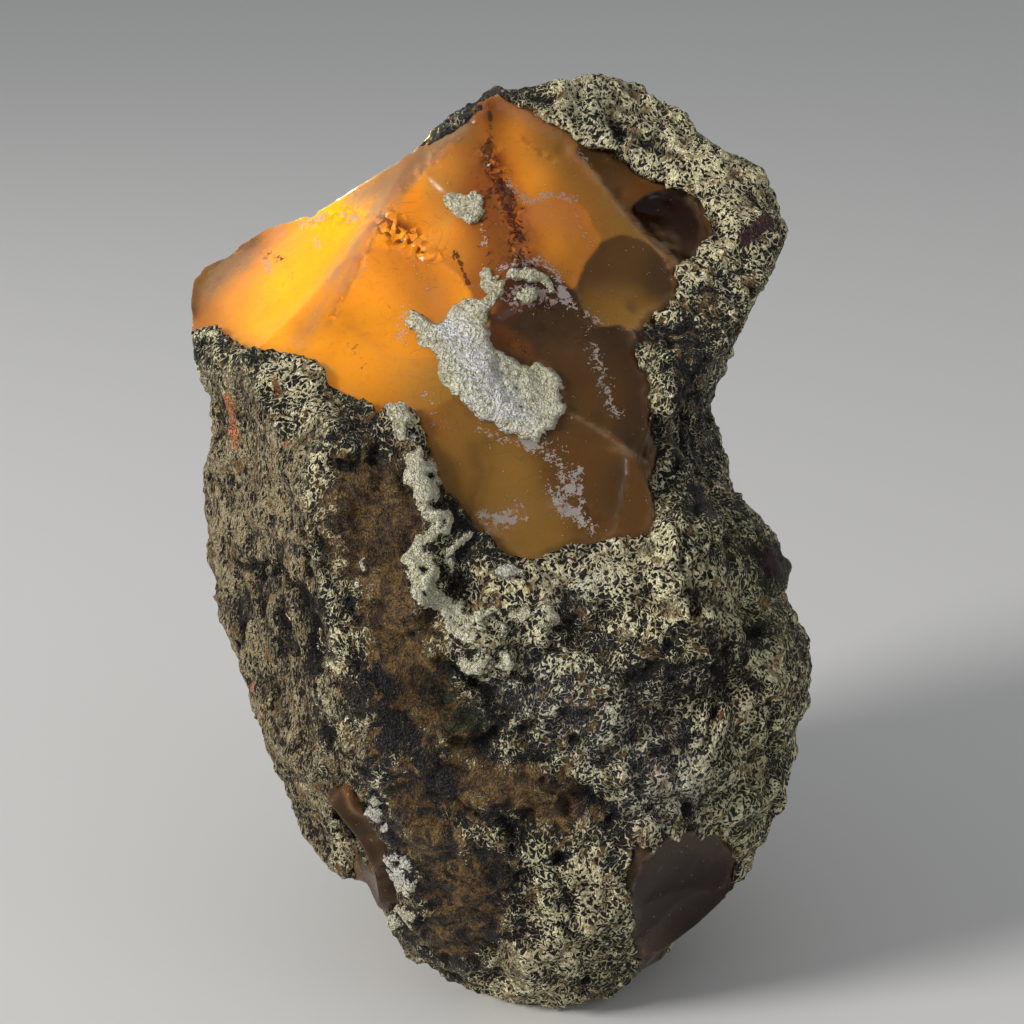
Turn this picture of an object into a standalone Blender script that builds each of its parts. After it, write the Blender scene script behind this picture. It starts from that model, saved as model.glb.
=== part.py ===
"""A rough fire opal: one nodule of opal, still in its weathered rind, standing on its broken foot.

Metres, +Z up. The broad face looks along -Y, and the origin is on the ground under the middle of the
stone's box. The stone leans back. Its form is drawn in its own leaning plane, as (across, along, out):
across to the right, along up the leaning face, and out of the face towards the front. Those values are
in millimetres.
"""

import math

import bmesh
import bpy
from mathutils import Matrix, Vector, noise

MM = 0.001

# Driving dimensions, in millimetres and radians.
LEAN = math.radians(18.0)  # how far the broad face leans back from upright
CENTRE_HEIGHT = 56.5  # the leaning plane's centre above the ground
BLOCKINESS = 0.78  # 1 gives a lens-shaped section, and less a squarer one
RIND_THICKNESS = 0.9  # how far the rind stands proud of the bare opal
GRAIN = 1.0  # grain of the solid before it is thinned
FACES_KEPT = 9400  # triangles of the finished solid
LEDGE_ROUNDING = 1  # rounds of averaging that slope the ledge where rind meets opal
BALL_SEGMENTS = 128
SHARP = math.radians(50)

# The stone's outline in the leaning plane, anticlockwise from its right side, as (across, along).
OUTLINE = [
    (41.0, -22.5), (41.5, -17.0), (41.0, -13.5), (37.5, -8.0), (37.5, -4.5), (35.5, 2.5), (31.5, 8.0),
    (28.5, 16.5), (27.0, 19.0), (30.0, 25.0), (37.0, 37.0), (38.0, 44.0), (36.5, 48.5), (34.5, 51.5),
    (28.5, 53.5), (26.5, 56.5), (19.5, 63.0), (14.0, 63.5), (5.0, 62.0), (-1.5, 61.5), (-8.0, 57.5),
    (-12.5, 51.5), (-21.5, 47.0), (-34.5, 42.5), (-43.0, 37.5), (-43.0, 33.5), (-40.0, 21.5), (-38.0, 14.5),
    (-40.0, 9.5), (-41.0, -1.5), (-37.5, -11.5), (-34.0, -20.0), (-30.5, -29.5), (-26.0, -41.5),
    (-23.5, -44.0), (-18.5, -46.0), (-14.0, -49.0), (-13.0, -55.0), (-5.0, -59.5), (3.0, -62.5),
    (8.5, -63.5), (13.5, -62.0), (21.5, -57.5), (30.0, -49.0), (37.0, -36.0),
]
OUTLINE_INSET = 1.8  # makes up for the rind and the swelling in front of the outline

# Half thickness in front of the leaning plane and behind it: (place along the stone, half thickness).
FRONT_THICKNESS = [(-64.0, 26.0), (-30.0, 32.0), (0.0, 32.0), (30.0, 27.0), (64.0, 16.0)]
BACK_THICKNESS = [(-64.0, 38.0), (-30.0, 38.0), (0.0, 34.0), (30.0, 27.0), (64.0, 20.0)]

# Faces broken off the stone. Each is the dish that a ball leaves: (name, middle of the dish, way it faces,
# radius of the ball).
SCARS = [
    ("left_flank", (-26.5, -6.0, 19.0), (-0.86, -0.09, 0.50), 240.0),
    ("glow_face", (-22.0, 41.0, 3.5), (-0.58, 0.56, 0.59), 90.0),
    ("amber_face", (-11.0, 36.0, 12.6), (-0.22, 0.43, 0.88), 120.0),
    ("orange_face", (9.0, 44.0, 9.0), (0.27, 0.48, 0.83), 90.0),
    ("brown_face", (11.0, 26.0, 18.5), (0.10, 0.36, 0.93), 60.0),
    ("honey_face", (6.0, 8.0, 26.5), (-0.04, 0.16, 0.99), 110.0),
    ("smoky_disc", (17.5, 34.0, 13.0), (0.30, 0.20, 0.93), 16.0),
    ("ledge_pit", (22.0, 43.0, 7.5), (0.20, 0.10, 0.97), 9.0),
    ("lower_break", (-9.0, -38.0, 27.0), (-0.30, -0.34, 0.89), 70.0),
    ("heel_sliver", (-19.0, -43.0, 9.0), (-0.80, -0.30, 0.52), 30.0),
    ("toe_window", (24.5, -46.0, 14.0), (0.52, -0.42, 0.74), 40.0),
    ("back_break", (-14.0, 38.0, -14.5), (-0.35, 0.45, -0.82), 70.0),
]

# Bare opal, where no rind is left: (name, 1 for the front or -1 for the back, outline as (across, along)).
BARE = [
    ("window", 1, [
        (-46.0, 30.0), (-38.0, 29.0), (-35.5, 27.0), (-32.0, 26.0), (-25.5, 25.0), (-24.0, 23.5),
        (-20.5, 20.5), (-15.5, 18.0), (-11.0, 17.0), (-8.0, 8.0), (-5.0, 5.0), (-2.5, 2.5), (1.5, -1.0),
        (5.5, -2.0), (9.5, 0.0), (16.5, 0.5), (20.0, 2.5), (20.5, 9.0), (20.0, 18.5), (18.0, 27.0),
        (19.0, 29.0), (22.0, 31.5), (23.5, 33.5), (23.5, 37.0), (27.0, 38.5), (27.0, 45.5), (22.5, 47.5),
        (19.0, 49.5), (13.5, 52.5), (8.5, 55.0), (3.0, 59.0), (-1.0, 61.0), (-6.0, 66.0), (-50.0, 50.0),
    ]),
    ("toe_window", 1, [
        (17.0, -42.0), (20.0, -40.5), (25.0, -38.5), (30.5, -39.5), (30.0, -45.0), (26.0, -53.0),
        (19.0, -56.0), (17.5, -47.5),
    ]),
    ("heel_sliver", 1, [
        (-22.0, -34.5), (-20.0, -35.5), (-17.0, -39.5), (-15.0, -44.0), (-14.0, -50.0), (-15.5, -49.5),
        (-19.0, -43.5),
    ]),
    ("back_break", -1, [
        (-30.0, 37.5), (-24.0, 29.0), (-14.0, 25.5), (-4.0, 27.0), (1.0, 35.0), (1.0, 47.0), (-4.5, 53.0),
        (-14.0, 48.5), (-24.0, 43.5),
    ]),
]

# Crust left standing on the bare opal: (name, outline as (across, along)).
CRUST = [
    ("window_patch", [
        (-11.2, 29.5), (-6.5, 30.5), (-2.0, 31.0), (-1.0, 28.0), (0.0, 26.0), (2.5, 25.2), (7.0, 23.5),
        (8.4, 18.0), (5.0, 13.8), (1.5, 14.0), (-3.5, 16.0), (-6.5, 19.5), (-8.5, 23.0), (-11.0, 26.5),
    ]),
    ("window_rim", [
        (-2.0, 31.0), (-1.5, 35.5), (3.0, 36.5), (7.5, 35.0), (6.0, 32.2), (1.5, 33.0),
    ]),
    ("round_spot", [
        (-6.8, 46.5), (-4.5, 47.2), (-2.2, 46.0), (-2.4, 43.7), (-4.8, 42.6), (-6.9, 44.2),
    ]),
]

# Swellings and hollows of the whole form, before it broke: (name, 1 for the front or -1 for the back,
# line as (across, along), reach, height).
SWELLINGS = [
    ("shoulder", 1, [(8.5, 60.0), (19.0, 56.5), (28.5, 49.5), (32.5, 41.5), (32.0, 33.5), (27.5, 27.0)], 13.0,
     6.0),
    ("belly", 1, [(22.0, -8.0), (27.0, -19.0), (24.0, -30.0)], 22.0, 3.0),
    ("waist", 1, [(32.0, 20.0), (27.0, 16.0), (22.0, 8.0)], 9.0, -2.5),
    ("side_hollow", 1, [(-28.5, -7.0), (-27.0, -19.0)], 7.0, -3.5),
    ("back_brow", -1, [(12.0, 38.0), (20.0, 26.0)], 16.0, 3.5),
    ("back_belly", -1, [(-12.0, -16.0), (6.0, -30.0)], 22.0, 3.5),
    ("back_fold", -1, [(-26.0, 10.0), (-4.0, 3.0), (20.0, 8.0)], 7.0, -2.8),
    ("back_hollow", -1, [(22.0, -14.0)], 13.0, -3.0),
]

# Marks on the rind alone, in the same form.
MARKS = [
    ("overhang_knob", 1, [(-19.6, 12.9)], 5.5, 2.4),
    ("shoulder_knob", 1, [(32.8, 40.5)], 5.0, 1.4),
    ("hip_knob", 1, [(36.5, -2.9)], 5.0, 1.4),
    ("crust_ridge", 1, [(-14.0, 17.0), (-10.0, 9.0), (-8.0, 0.0), (-11.5, -8.0)], 4.5, 1.4),
    ("brown_bay", 1, [(-18.0, 2.0), (-17.0, -8.0), (-12.0, -16.0)], 5.0, -1.6),
    ("upper_fold", 1, [(-9.0, -20.5), (-1.0, -16.5), (8.0, -13.0), (19.0, -8.5)], 3.4, -1.9),
    ("middle_fold", 1, [(-4.0, -27.0), (5.0, -23.0), (14.0, -25.0), (27.0, -18.0)], 3.4, -1.7),
    ("lower_fold", 1, [(3.0, -34.0), (12.0, -31.0), (24.0, -33.0), (33.0, -28.0)], 3.4, -1.6),
    ("side_fold", 1, [(24.0, 12.0), (29.0, 2.0), (31.0, -10.0)], 3.4, -1.4),
    ("back_seam", -1, [(-18.0, -34.0), (-4.0, -42.0), (14.0, -38.0)], 4.0, -1.8),
    ("back_step", -1, [(-24.0, -4.0), (-16.0, -14.0), (-20.0, -26.0)], 4.0, 1.8),
    ("back_ridge", -1, [(4.0, 22.0), (16.0, 14.0), (28.0, 16.0)], 4.5, 1.8),
]

# Roughness of the rind: (size of a lump, height). Lumps are rounded, and crags meet in creases.
LUMPS = [(16.0, 1.2), (3.6, 0.4)]
CRAGS = [(9.0, 1.3), (5.2, 0.8)]


def leaning_matrix():
    """Turns (across, along, out) in millimetres into the stone's frame in metres."""
    across = Vector((1, 0, 0))
    along = Vector((0, math.sin(LEAN), math.cos(LEAN)))
    out = Vector((0, -math.cos(LEAN), math.sin(LEAN)))
    turn = Matrix((across, along, out)).transposed().to_4x4()
    return Matrix.Translation((0, 0, CENTRE_HEIGHT * MM)) @ turn @ Matrix.Scale(MM, 4)


def outline_reach(angle):
    """Distance from the centre to the outline at this angle."""
    way = Vector((math.cos(angle), math.sin(angle)))
    for start, end in zip(OUTLINE, OUTLINE[1:] + OUTLINE[:1]):
        start, side = Vector(start), Vector(end) - Vector(start)
        cross = way.cross(side)
        if abs(cross) < 1e-9:
            continue
        reach = start.cross(side) / cross
        share = start.cross(way) / cross
        if reach > 0 and -1e-6 <= share <= 1 + 1e-6:
            return reach - OUTLINE_INSET
    raise ValueError("the outline doesn't go round the centre")


def between(stations, place):
    """The value at this place, eased between the two nearest stations."""
    for (low, first), (high, second) in zip(stations, stations[1:]):
        if place <= high:
            share = min(1.0, max(0.0, (place - low) / (high - low)))
            return first + (second - first) * share * share * (3 - 2 * share)
    return stations[-1][1]


def inflate(way):
    """The point of the stone's rough form that lies this way from the ball's centre."""
    angle = math.atan2(way.z, way.x)
    spread = math.hypot(way.x, way.z) ** BLOCKINESS
    reach = outline_reach(angle) * spread
    along = reach * math.sin(angle)
    if way.y < 0:
        out = between(FRONT_THICKNESS, along) * (-way.y) ** BLOCKINESS
    else:
        out = -between(BACK_THICKNESS, along) * way.y ** BLOCKINESS
    return Vector((reach * math.cos(angle), along, out))


def distance_to_line(spot, line):
    """Distance from a spot to a line of points, or to its one point."""
    if len(line) == 1:
        return (spot - Vector(line[0])).length
    nearest = math.inf
    for start, end in zip(line, line[1:]):
        start, side = Vector(start), Vector(end) - Vector(start)
        share = min(1.0, max(0.0, (spot - start).dot(side) / side.length_squared))
        nearest = min(nearest, (spot - start - side * share).length)
    return nearest


def inside(spot, outline):
    """True where the spot is within the outline."""
    found = False
    for (x1, y1), (x2, y2) in zip(outline, outline[1:] + outline[:1]):
        if (y1 > spot.y) != (y2 > spot.y) and spot.x < (x2 - x1) * (spot.y - y1) / (y2 - y1) + x1:
            found = not found
    return found


def rise(spot, side, marks):
    """How far these marks lift the surface at a spot on one side of the stone."""
    height = 0.0
    for _, mark_side, line, reach, top in marks:
        if mark_side == side:
            share = distance_to_line(spot, line) / reach
            if share < 1:
                height += top * (1 - share * share) ** 2
    return height


def ragged(point, spot):
    """The spot, moved a little so that a border drawn with it comes out ragged."""
    shift = noise.noise_vector(point / 3.0) * 1.3
    return spot + shift.xy


def roughness(point):
    """Height of the rind's lumps and crags here, about a mean of nothing."""
    height = 0.0
    for size, top in LUMPS:
        height += top * noise.noise(point / size + Vector((size, 3.3, 5.9)))
    for size, top in CRAGS:
        height += top * (0.35 - abs(noise.noise(point / size + Vector((4.7, size, 1.9)))) * 1.7)
    return height


def new_object(name, mesh, collection):
    made = bpy.data.objects.new(name, mesh)
    collection.objects.link(made)
    return made


def mesh_from(name, bm):
    mesh = bpy.data.meshes.new(name)
    bm.to_mesh(mesh)
    bm.free()
    return mesh


def rough_form():
    """The whole stone before anything broke off it, in millimetres of its leaning plane."""
    bm = bmesh.new()
    bmesh.ops.create_icosphere(bm, subdivisions=7, radius=1.0)
    for vert in bm.verts:
        vert.co = inflate(vert.co)
    for vert in bm.verts:
        side = 1 if vert.co.z > 0 else -1
        vert.co.z += side * rise(vert.co.xy, side, SWELLINGS) * min(1.0, abs(vert.co.z) / 8.0)
    return mesh_from("rough_form", bm)


def scar_ball(name, middle, facing, radius):
    """A ball whose surface passes through the middle of a scar, on the side away from the stone."""
    bm = bmesh.new()
    bmesh.ops.create_uvsphere(bm, u_segments=BALL_SEGMENTS, v_segments=BALL_SEGMENTS // 2, radius=radius)
    centre = Vector(middle) + Vector(facing).normalized() * radius
    bmesh.ops.translate(bm, vec=centre, verts=bm.verts)
    return mesh_from(name, bm)


def hide_cutter(cutter):
    cutter.hide_render = True
    cutter.display_type = "WIRE"
    return cutter


def evaluated_mesh(made):
    """The object's mesh with its modifiers applied."""
    bpy.context.view_layer.update()
    graph = bpy.context.evaluated_depsgraph_get()
    return bpy.data.meshes.new_from_object(made.evaluated_get(graph))


def rind_height(point, side):
    """How far the finished surface stands off the broken form here."""
    spot = ragged(point, point.xy)
    bare = any(inside(spot, outline) for _, bare_side, outline in BARE if bare_side == side)
    if bare and not (side == 1 and any(inside(spot, outline) for _, outline in CRUST)):
        return 0.0
    height = RIND_THICKNESS + roughness(point)
    if not bare:
        height += rise(point.xy, side, MARKS)
    return height


def weather(mesh):
    """Leaves the rind standing proud of the bare opal, marked and rough."""
    bm = bmesh.new()
    bm.from_mesh(mesh)
    bm.normal_update()
    heights = [rind_height(vert.co, 1 if vert.normal.z > -0.05 else -1) for vert in bm.verts]
    ways = [vert.normal.copy() for vert in bm.verts]
    around = [[edge.other_vert(vert).index for edge in vert.link_edges] for vert in bm.verts]
    for _ in range(LEDGE_ROUNDING):
        means = []
        for own, near in zip(heights, around):
            means.append((own + sum(heights[j] for j in near)) / (1 + len(near)))
        heights = means
        ways = [sum((ways[j] for j in near), own).normalized() for own, near in zip(ways, around)]
    for vert, way, height in zip(bm.verts, ways, heights):
        vert.co += way * height
    bm.to_mesh(mesh)
    bm.free()


def material():
    made = bpy.data.materials.new("fire_opal")
    made.use_nodes = True
    shader = made.node_tree.nodes["Principled BSDF"]
    shader.inputs["Base Color"].default_value = (0.30, 0.20, 0.10, 1.0)
    shader.inputs["Roughness"].default_value = 0.45
    shader.inputs["Metallic"].default_value = 0.0
    return made


def main():
    for old in list(bpy.data.objects):
        bpy.data.objects.remove(old)
    scene = bpy.context.scene
    parts = bpy.data.collections.new("rough_fire_opal")
    cutters = bpy.data.collections.new("cutters")
    scene.collection.children.link(parts)
    scene.collection.children.link(cutters)

    form = hide_cutter(new_object("form", rough_form(), cutters))
    for name, middle, facing, radius in SCARS:
        ball = hide_cutter(new_object(name, scar_ball(name, middle, facing, radius), cutters))
        cut = form.modifiers.new(name, "BOOLEAN")
        cut.operation = "DIFFERENCE"
        cut.solver = "EXACT"
        cut.object = ball
    grain = form.modifiers.new("grain", "REMESH")
    grain.mode = "VOXEL"
    grain.voxel_size = GRAIN

    mesh = evaluated_mesh(form)
    weather(mesh)
    mesh.transform(leaning_matrix())
    stone = new_object("rough_fire_opal", mesh, parts)
    thin = stone.modifiers.new("thin", "DECIMATE")
    mesh.calc_loop_triangles()
    thin.ratio = FACES_KEPT / len(mesh.loop_triangles)

    bm = bmesh.new()
    bmesh.ops.create_cube(bm, size=0.2)
    bmesh.ops.translate(bm, vec=(0, 0, -0.1), verts=bm.verts)
    ground = hide_cutter(new_object("ground", mesh_from("ground", bm), cutters))
    foot = stone.modifiers.new("foot", "BOOLEAN")
    foot.operation = "DIFFERENCE"
    foot.solver = "EXACT"
    foot.object = ground

    solid = evaluated_mesh(stone)
    corners = [vert.co for vert in solid.vertices]
    middle_x = (min(c.x for c in corners) + max(c.x for c in corners)) / 2
    middle_y = (min(c.y for c in corners) + max(c.y for c in corners)) / 2
    solid.transform(Matrix.Translation((-middle_x, -middle_y, 0)))
    stone.modifiers.clear()
    stone.data = solid
    solid.name = "rough_fire_opal"
    solid.materials.append(material())
    solid.shade_smooth()
    solid.set_sharp_from_angle(angle=SHARP)


main()
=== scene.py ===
"""Looks for a rough fire opal: the clear opal body, and the weathered rind with its crust over it.

Lengths are metres unless a name ends in _mm. The stone leans back, and most of its features are placed in its own
leaning plane, in millimetres, as (across, along, out): across to the right, along up the face, out to the front.
"""

import math

import bmesh
import bpy
import numpy as np
from bpy.props import FloatProperty, FloatVectorProperty, PointerProperty
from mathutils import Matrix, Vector, noise


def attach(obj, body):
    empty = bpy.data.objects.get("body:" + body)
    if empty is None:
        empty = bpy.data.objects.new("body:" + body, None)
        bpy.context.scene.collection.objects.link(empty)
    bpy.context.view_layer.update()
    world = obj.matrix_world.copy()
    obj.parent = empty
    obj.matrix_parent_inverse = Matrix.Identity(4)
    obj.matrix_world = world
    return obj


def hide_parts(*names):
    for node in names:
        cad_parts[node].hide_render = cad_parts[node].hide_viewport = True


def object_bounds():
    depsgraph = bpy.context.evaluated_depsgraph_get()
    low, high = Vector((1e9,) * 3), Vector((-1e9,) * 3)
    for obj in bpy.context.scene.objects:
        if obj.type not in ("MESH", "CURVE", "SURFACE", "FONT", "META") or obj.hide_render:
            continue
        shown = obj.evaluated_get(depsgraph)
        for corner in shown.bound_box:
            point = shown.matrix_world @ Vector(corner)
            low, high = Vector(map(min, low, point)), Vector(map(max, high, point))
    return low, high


bl_info = {
    "name": "Rough fire opal",
    "version": (1, 0, 0),
    "blender": (4, 5, 0),
    "location": "3D View > Sidebar > Fire opal",
    "description": "Builds a rough fire opal: opal body, weathered rind and a plain stage",
    "category": "Add Mesh",
}

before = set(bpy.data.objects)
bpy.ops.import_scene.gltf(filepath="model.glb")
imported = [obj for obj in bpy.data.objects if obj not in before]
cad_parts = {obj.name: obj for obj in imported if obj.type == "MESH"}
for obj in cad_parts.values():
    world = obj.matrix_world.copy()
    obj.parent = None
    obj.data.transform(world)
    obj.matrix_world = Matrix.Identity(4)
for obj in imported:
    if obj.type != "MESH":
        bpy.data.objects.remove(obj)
CAD_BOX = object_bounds()
NODE = "rough_fire_opal"
MM = 0.001

# The leaning plane: how far it leans back, and the point that its measures start from.
LEAN = math.radians(18.0)
PLANE_CENTRE = Vector((0.62, 0.54, 56.5)) * MM

# The camera's place in the leaning plane's millimetres. Features on the front are placed as this eye sees them
# against the plane.
EYE = np.array((1.82, 3.58, 257.96))

# Faces broken off the stone: (middle of the dish, way it faces, radius of the ball that shapes it), in the leaning
# plane's millimetres.
SCARS = {
    "left_flank": ((-26.5, -6.0, 19.0), (-0.86, -0.09, 0.50), 240.0),
    "glow_face": ((-22.0, 41.0, 3.5), (-0.58, 0.56, 0.59), 90.0),
    "amber_face": ((-11.0, 36.0, 12.6), (-0.22, 0.43, 0.88), 120.0),
    "orange_face": ((9.0, 44.0, 9.0), (0.27, 0.48, 0.83), 90.0),
    "brown_face": ((11.0, 26.0, 18.5), (0.10, 0.36, 0.93), 60.0),
    "honey_face": ((6.0, 8.0, 26.5), (-0.04, 0.16, 0.99), 110.0),
    "ledge_pit": ((22.0, 43.0, 7.5), (0.20, 0.10, 0.97), 9.0),
    "lower_break": ((-9.0, -38.0, 27.0), (-0.30, -0.34, 0.89), 70.0),
    "heel_sliver": ((-19.0, -43.0, 9.0), (-0.80, -0.30, 0.52), 30.0),
    "toe_window": ((24.5, -46.0, 14.0), (0.52, -0.42, 0.74), 40.0),
    "back_break": ((-14.0, 38.0, -14.5), (-0.35, 0.45, -0.82), 70.0),
}

# Bare opal: (1 for the front or -1 for the back, outline as (across, along)).
BARE = {
    "window": (1, [
        (-46.0, 30.0), (-38.0, 29.0), (-35.5, 27.0), (-32.0, 26.0), (-25.5, 25.0), (-24.0, 23.5),
        (-20.5, 20.5), (-15.5, 18.0), (-11.0, 17.0), (-8.0, 8.0), (-5.0, 5.0), (-2.5, 2.5), (1.5, -1.0),
        (5.5, -2.0), (9.5, 0.0), (16.5, 0.5), (20.0, 2.5), (20.5, 9.0), (20.0, 18.5), (18.0, 27.0),
        (19.0, 29.0), (22.0, 31.5), (23.5, 33.5), (23.5, 37.0), (27.0, 38.5), (27.0, 45.5), (22.5, 47.5),
        (19.0, 49.5), (13.5, 52.5), (8.2, 54.9), (3.4, 57.6), (0.2, 59.0), (-1.0, 59.2), (-2.4, 57.9),
        (-4.0, 56.6), (-6.3, 55.0), (-8.4, 53.2), (-10.2, 51.8), (-12.2, 51.0), (-14.4, 52.4), (-17.0, 58.0),
        (-50.0, 50.0),
    ]),
    "toe_window": (1, [
        (18.2, -43.4), (21.0, -42.4), (26.0, -40.4), (31.0, -41.4), (30.6, -47.0), (26.6, -54.8),
        (20.0, -58.6), (18.4, -49.6),
    ]),
    "heel_sliver": (1, [
        (-22.6, -35.3), (-20.5, -34.4), (-18.6, -37.5), (-16.1, -39.9), (-15.3, -43.0), (-14.4, -46.9),
        (-14.8, -49.6), (-16.8, -48.1), (-18.4, -45.7), (-20.0, -42.1), (-21.4, -38.9),
    ]),
    "back_break": (-1, [
        (-30.0, 37.5), (-24.0, 29.0), (-14.0, 25.5), (-4.0, 27.0), (1.0, 35.0), (1.0, 47.0), (-4.5, 53.0),
        (-14.0, 48.5), (-24.0, 43.5),
    ]),
}

# Crust left standing on the bare opal of the window, as outlines of (across, along).
CRUST = {
    "window_patch": [
        (-12.3, 30.6), (-9.9, 30.4), (-8.2, 29.8), (-6.3, 31.3), (-4.3, 32.1), (-1.1, 32.4), (-1.5, 30.2),
        (-1.4, 28.1), (0.2, 25.7), (1.8, 24.6), (3.7, 23.6), (6.3, 24.2), (7.8, 23.8), (8.8, 20.5), (8.5, 16.1),
        (6.7, 14.2), (5.1, 13.2), (2.9, 13.4), (1.1, 14.2), (-2.5, 16.3), (-5.3, 18.5), (-8.0, 21.2), (-8.8, 24.7),
        (-10.5, 26.5), (-12.3, 28.8),
    ],
    "window_rim": [
        (-2.7, 36.2), (-1.6, 37.0), (-0.3, 36.2), (-0.1, 34.6), (0.9, 33.0), (0.2, 31.8), (-1.9, 32.4),
    ],
    "lens_crust": [
        (-0.9, 33.2), (-0.2, 34.9), (0.8, 36.4), (2.4, 37.2), (4.2, 37.4), (6.0, 36.8), (7.3, 35.4), (8.2, 33.8),
        (7.4, 33.0), (6.2, 34.2), (4.9, 35.3), (3.0, 35.4), (1.4, 34.6), (0.4, 33.2), (0.2, 31.6), (-0.8, 31.4),
    ],
    "lens_crumb": [(1.4, 32.2), (2.6, 33.4), (4.2, 33.8), (5.8, 33.2), (5.0, 32.2), (3.4, 32.4), (2.4, 31.4)],
    "round_spot": [
        (-7.2, 45.8), (-6.2, 47.2), (-4.4, 47.6), (-2.4, 47.0), (-1.5, 45.2), (-2.0, 43.4), (-3.8, 42.4), (-5.8, 42.9),
        (-6.9, 44.2),
    ],
}

# Flakes broken off the bare faces: (outline as (across, along), steepness of its edge, depth).
FLAKES = {
    "recess": ([
        (10.6, 52.4), (12.4, 50.2), (14.4, 47.5), (16.8, 43.9), (19.5, 41.2), (23.0, 38.1), (29.0, 36.0),
        (30.0, 46.0), (25.9, 51.0), (19.0, 55.0), (13.0, 56.0),
    ], 0.9, 1.5),
    "pit": ([
        (17.9, 44.6), (20.9, 47.0), (24.0, 47.5), (26.4, 46.4), (27.3, 43.7), (27.1, 40.3), (26.8, 38.1),
        (24.4, 37.9), (21.5, 40.3), (19.5, 42.3),
    ], 1.1, 1.3),
    "disc": ([
        (10.5, 34.4), (11.0, 37.0), (12.4, 39.1), (14.5, 40.4), (17.0, 40.8), (19.6, 40.2), (21.7, 38.7),
        (23.0, 36.6), (23.3, 34.4), (23.0, 31.8), (21.4, 29.7), (19.2, 28.5), (16.6, 28.2), (13.4, 29.1),
        (11.3, 31.4),
    ], 0.45, 0.8),
    "yellow_facet": ([
        (-13.2, 44.6), (-11.9, 47.3), (-10.1, 49.5), (-7.9, 47.9), (-6.5, 46.0), (-5.7, 43.8), (-7.3, 41.2),
        (-9.6, 39.6), (-11.9, 41.0),
    ], 0.4, 0.55),
    "amber_shell": ([
        (-18.3, 38.8), (-15.3, 39.1), (-12.5, 38.7), (-9.9, 38.1), (-7.7, 37.1), (-5.4, 35.5), (-3.8, 33.2),
        (-3.5, 30.0), (-5.0, 26.5), (-9.2, 24.5), (-16.0, 25.2), (-21.7, 30.2), (-20.6, 36.0),
    ], 0.4, 0.6),
    "lower_orange": ([
        (2.8, 43.7), (4.3, 45.0), (6.5, 45.7), (11.0, 45.0), (12.6, 42.3), (13.7, 39.9), (11.7, 37.3), (10.2, 33.7),
        (7.6, 36.2), (5.6, 39.0), (3.2, 41.0),
    ], 0.7, 0.5),
    "dark_lens": ([
        (-1.6, 29.8), (0.5, 30.6), (4.3, 32.2), (8.3, 32.2), (12.4, 28.8), (17.8, 28.1), (22.0, 18.7), (19.9, 10.3),
        (14.6, 14.4), (9.1, 17.2), (8.6, 20.5), (6.3, 23.8), (3.7, 23.2), (1.8, 24.4), (0.2, 25.7),
    ], 0.5, 0.7),
    "olive_facet": ([
        (-2.5, 13.6), (-1.3, 9.7), (-2.0, 7.2), (-2.8, 4.2), (1.9, -2.9), (9.3, -3.3), (14.7, -1.1), (17.5, 11.9),
        (9.1, 17.0), (5.6, 14.0), (1.1, 14.6),
    ], 0.45, 0.5),
    "toe_upper": ([(15.8, -41.7), (32.7, -39.6), (33.7, -48.0), (25.3, -47.0), (17.9, -49.6)], 0.5, 0.7),
    "toe_lower": ([(26.9, -47.5), (32.7, -48.6), (27.4, -57.6), (21.0, -60.7), (19.5, -54.4)], 0.5, 0.5),
}

# Chips along the ridges of the bare opal: (across, along, radius of the chip, depth).
CHIPS = [
    (-18.8, 37.6, 0.9, 0.25), (-20.2, 34.6, 0.8, 0.2), (-21.6, 31.8, 0.9, 0.2), (-22.6, 29.0, 0.8, 0.2),
    (-24.8, 41.4, 1.6, 0.2), (-28.0, 37.4, 1.3, 0.2), (-20.4, 43.6, 1.2, 0.2), (-30.6, 33.6, 1.6, 0.15),
    (-8.6, 50.4, 0.7, 0.15), (16.4, 46.6, 0.9, 0.25), (20.6, 41.8, 0.8, 0.25), (8.6, 52.4, 1.1, 0.25),
    (13.8, 15.6, 1.6, 0.25), (18.0, 12.2, 1.3, 0.25),
]

# Splintered places on the bare opal: (1 for the front, line as (across, along), reach, strength).
HACKLES = [
    (1, [(-15.2, 42.6), (-13.6, 41.4), (-11.8, 40.2)], 1.7, 1.4),
    (1, [(-10.4, 38.6), (-8.4, 38.2)], 0.8, 0.8),
    (1, [(-16.8, 40.4), (-19.6, 35.2), (-22.6, 29.6)], 0.5, 0.4),
    (1, [(-25.5, 42.6), (-20.0, 43.8), (-17.4, 43.2)], 1.2, 0.35),
    (1, [(-13.0, 47.6), (-9.6, 50.6), (-4.0, 56.4)], 0.9, 0.5),
    (1, [(-1.4, 52.0), (0.8, 47.0), (2.5, 41.0), (2.6, 38.0)], 1.5, 0.7),
    (1, [(9.0, 5.0), (12.5, 2.8)], 1.5, 0.4),
    (1, [(3.0, 53.8), (9.0, 50.0)], 0.6, 0.3),
]

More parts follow.
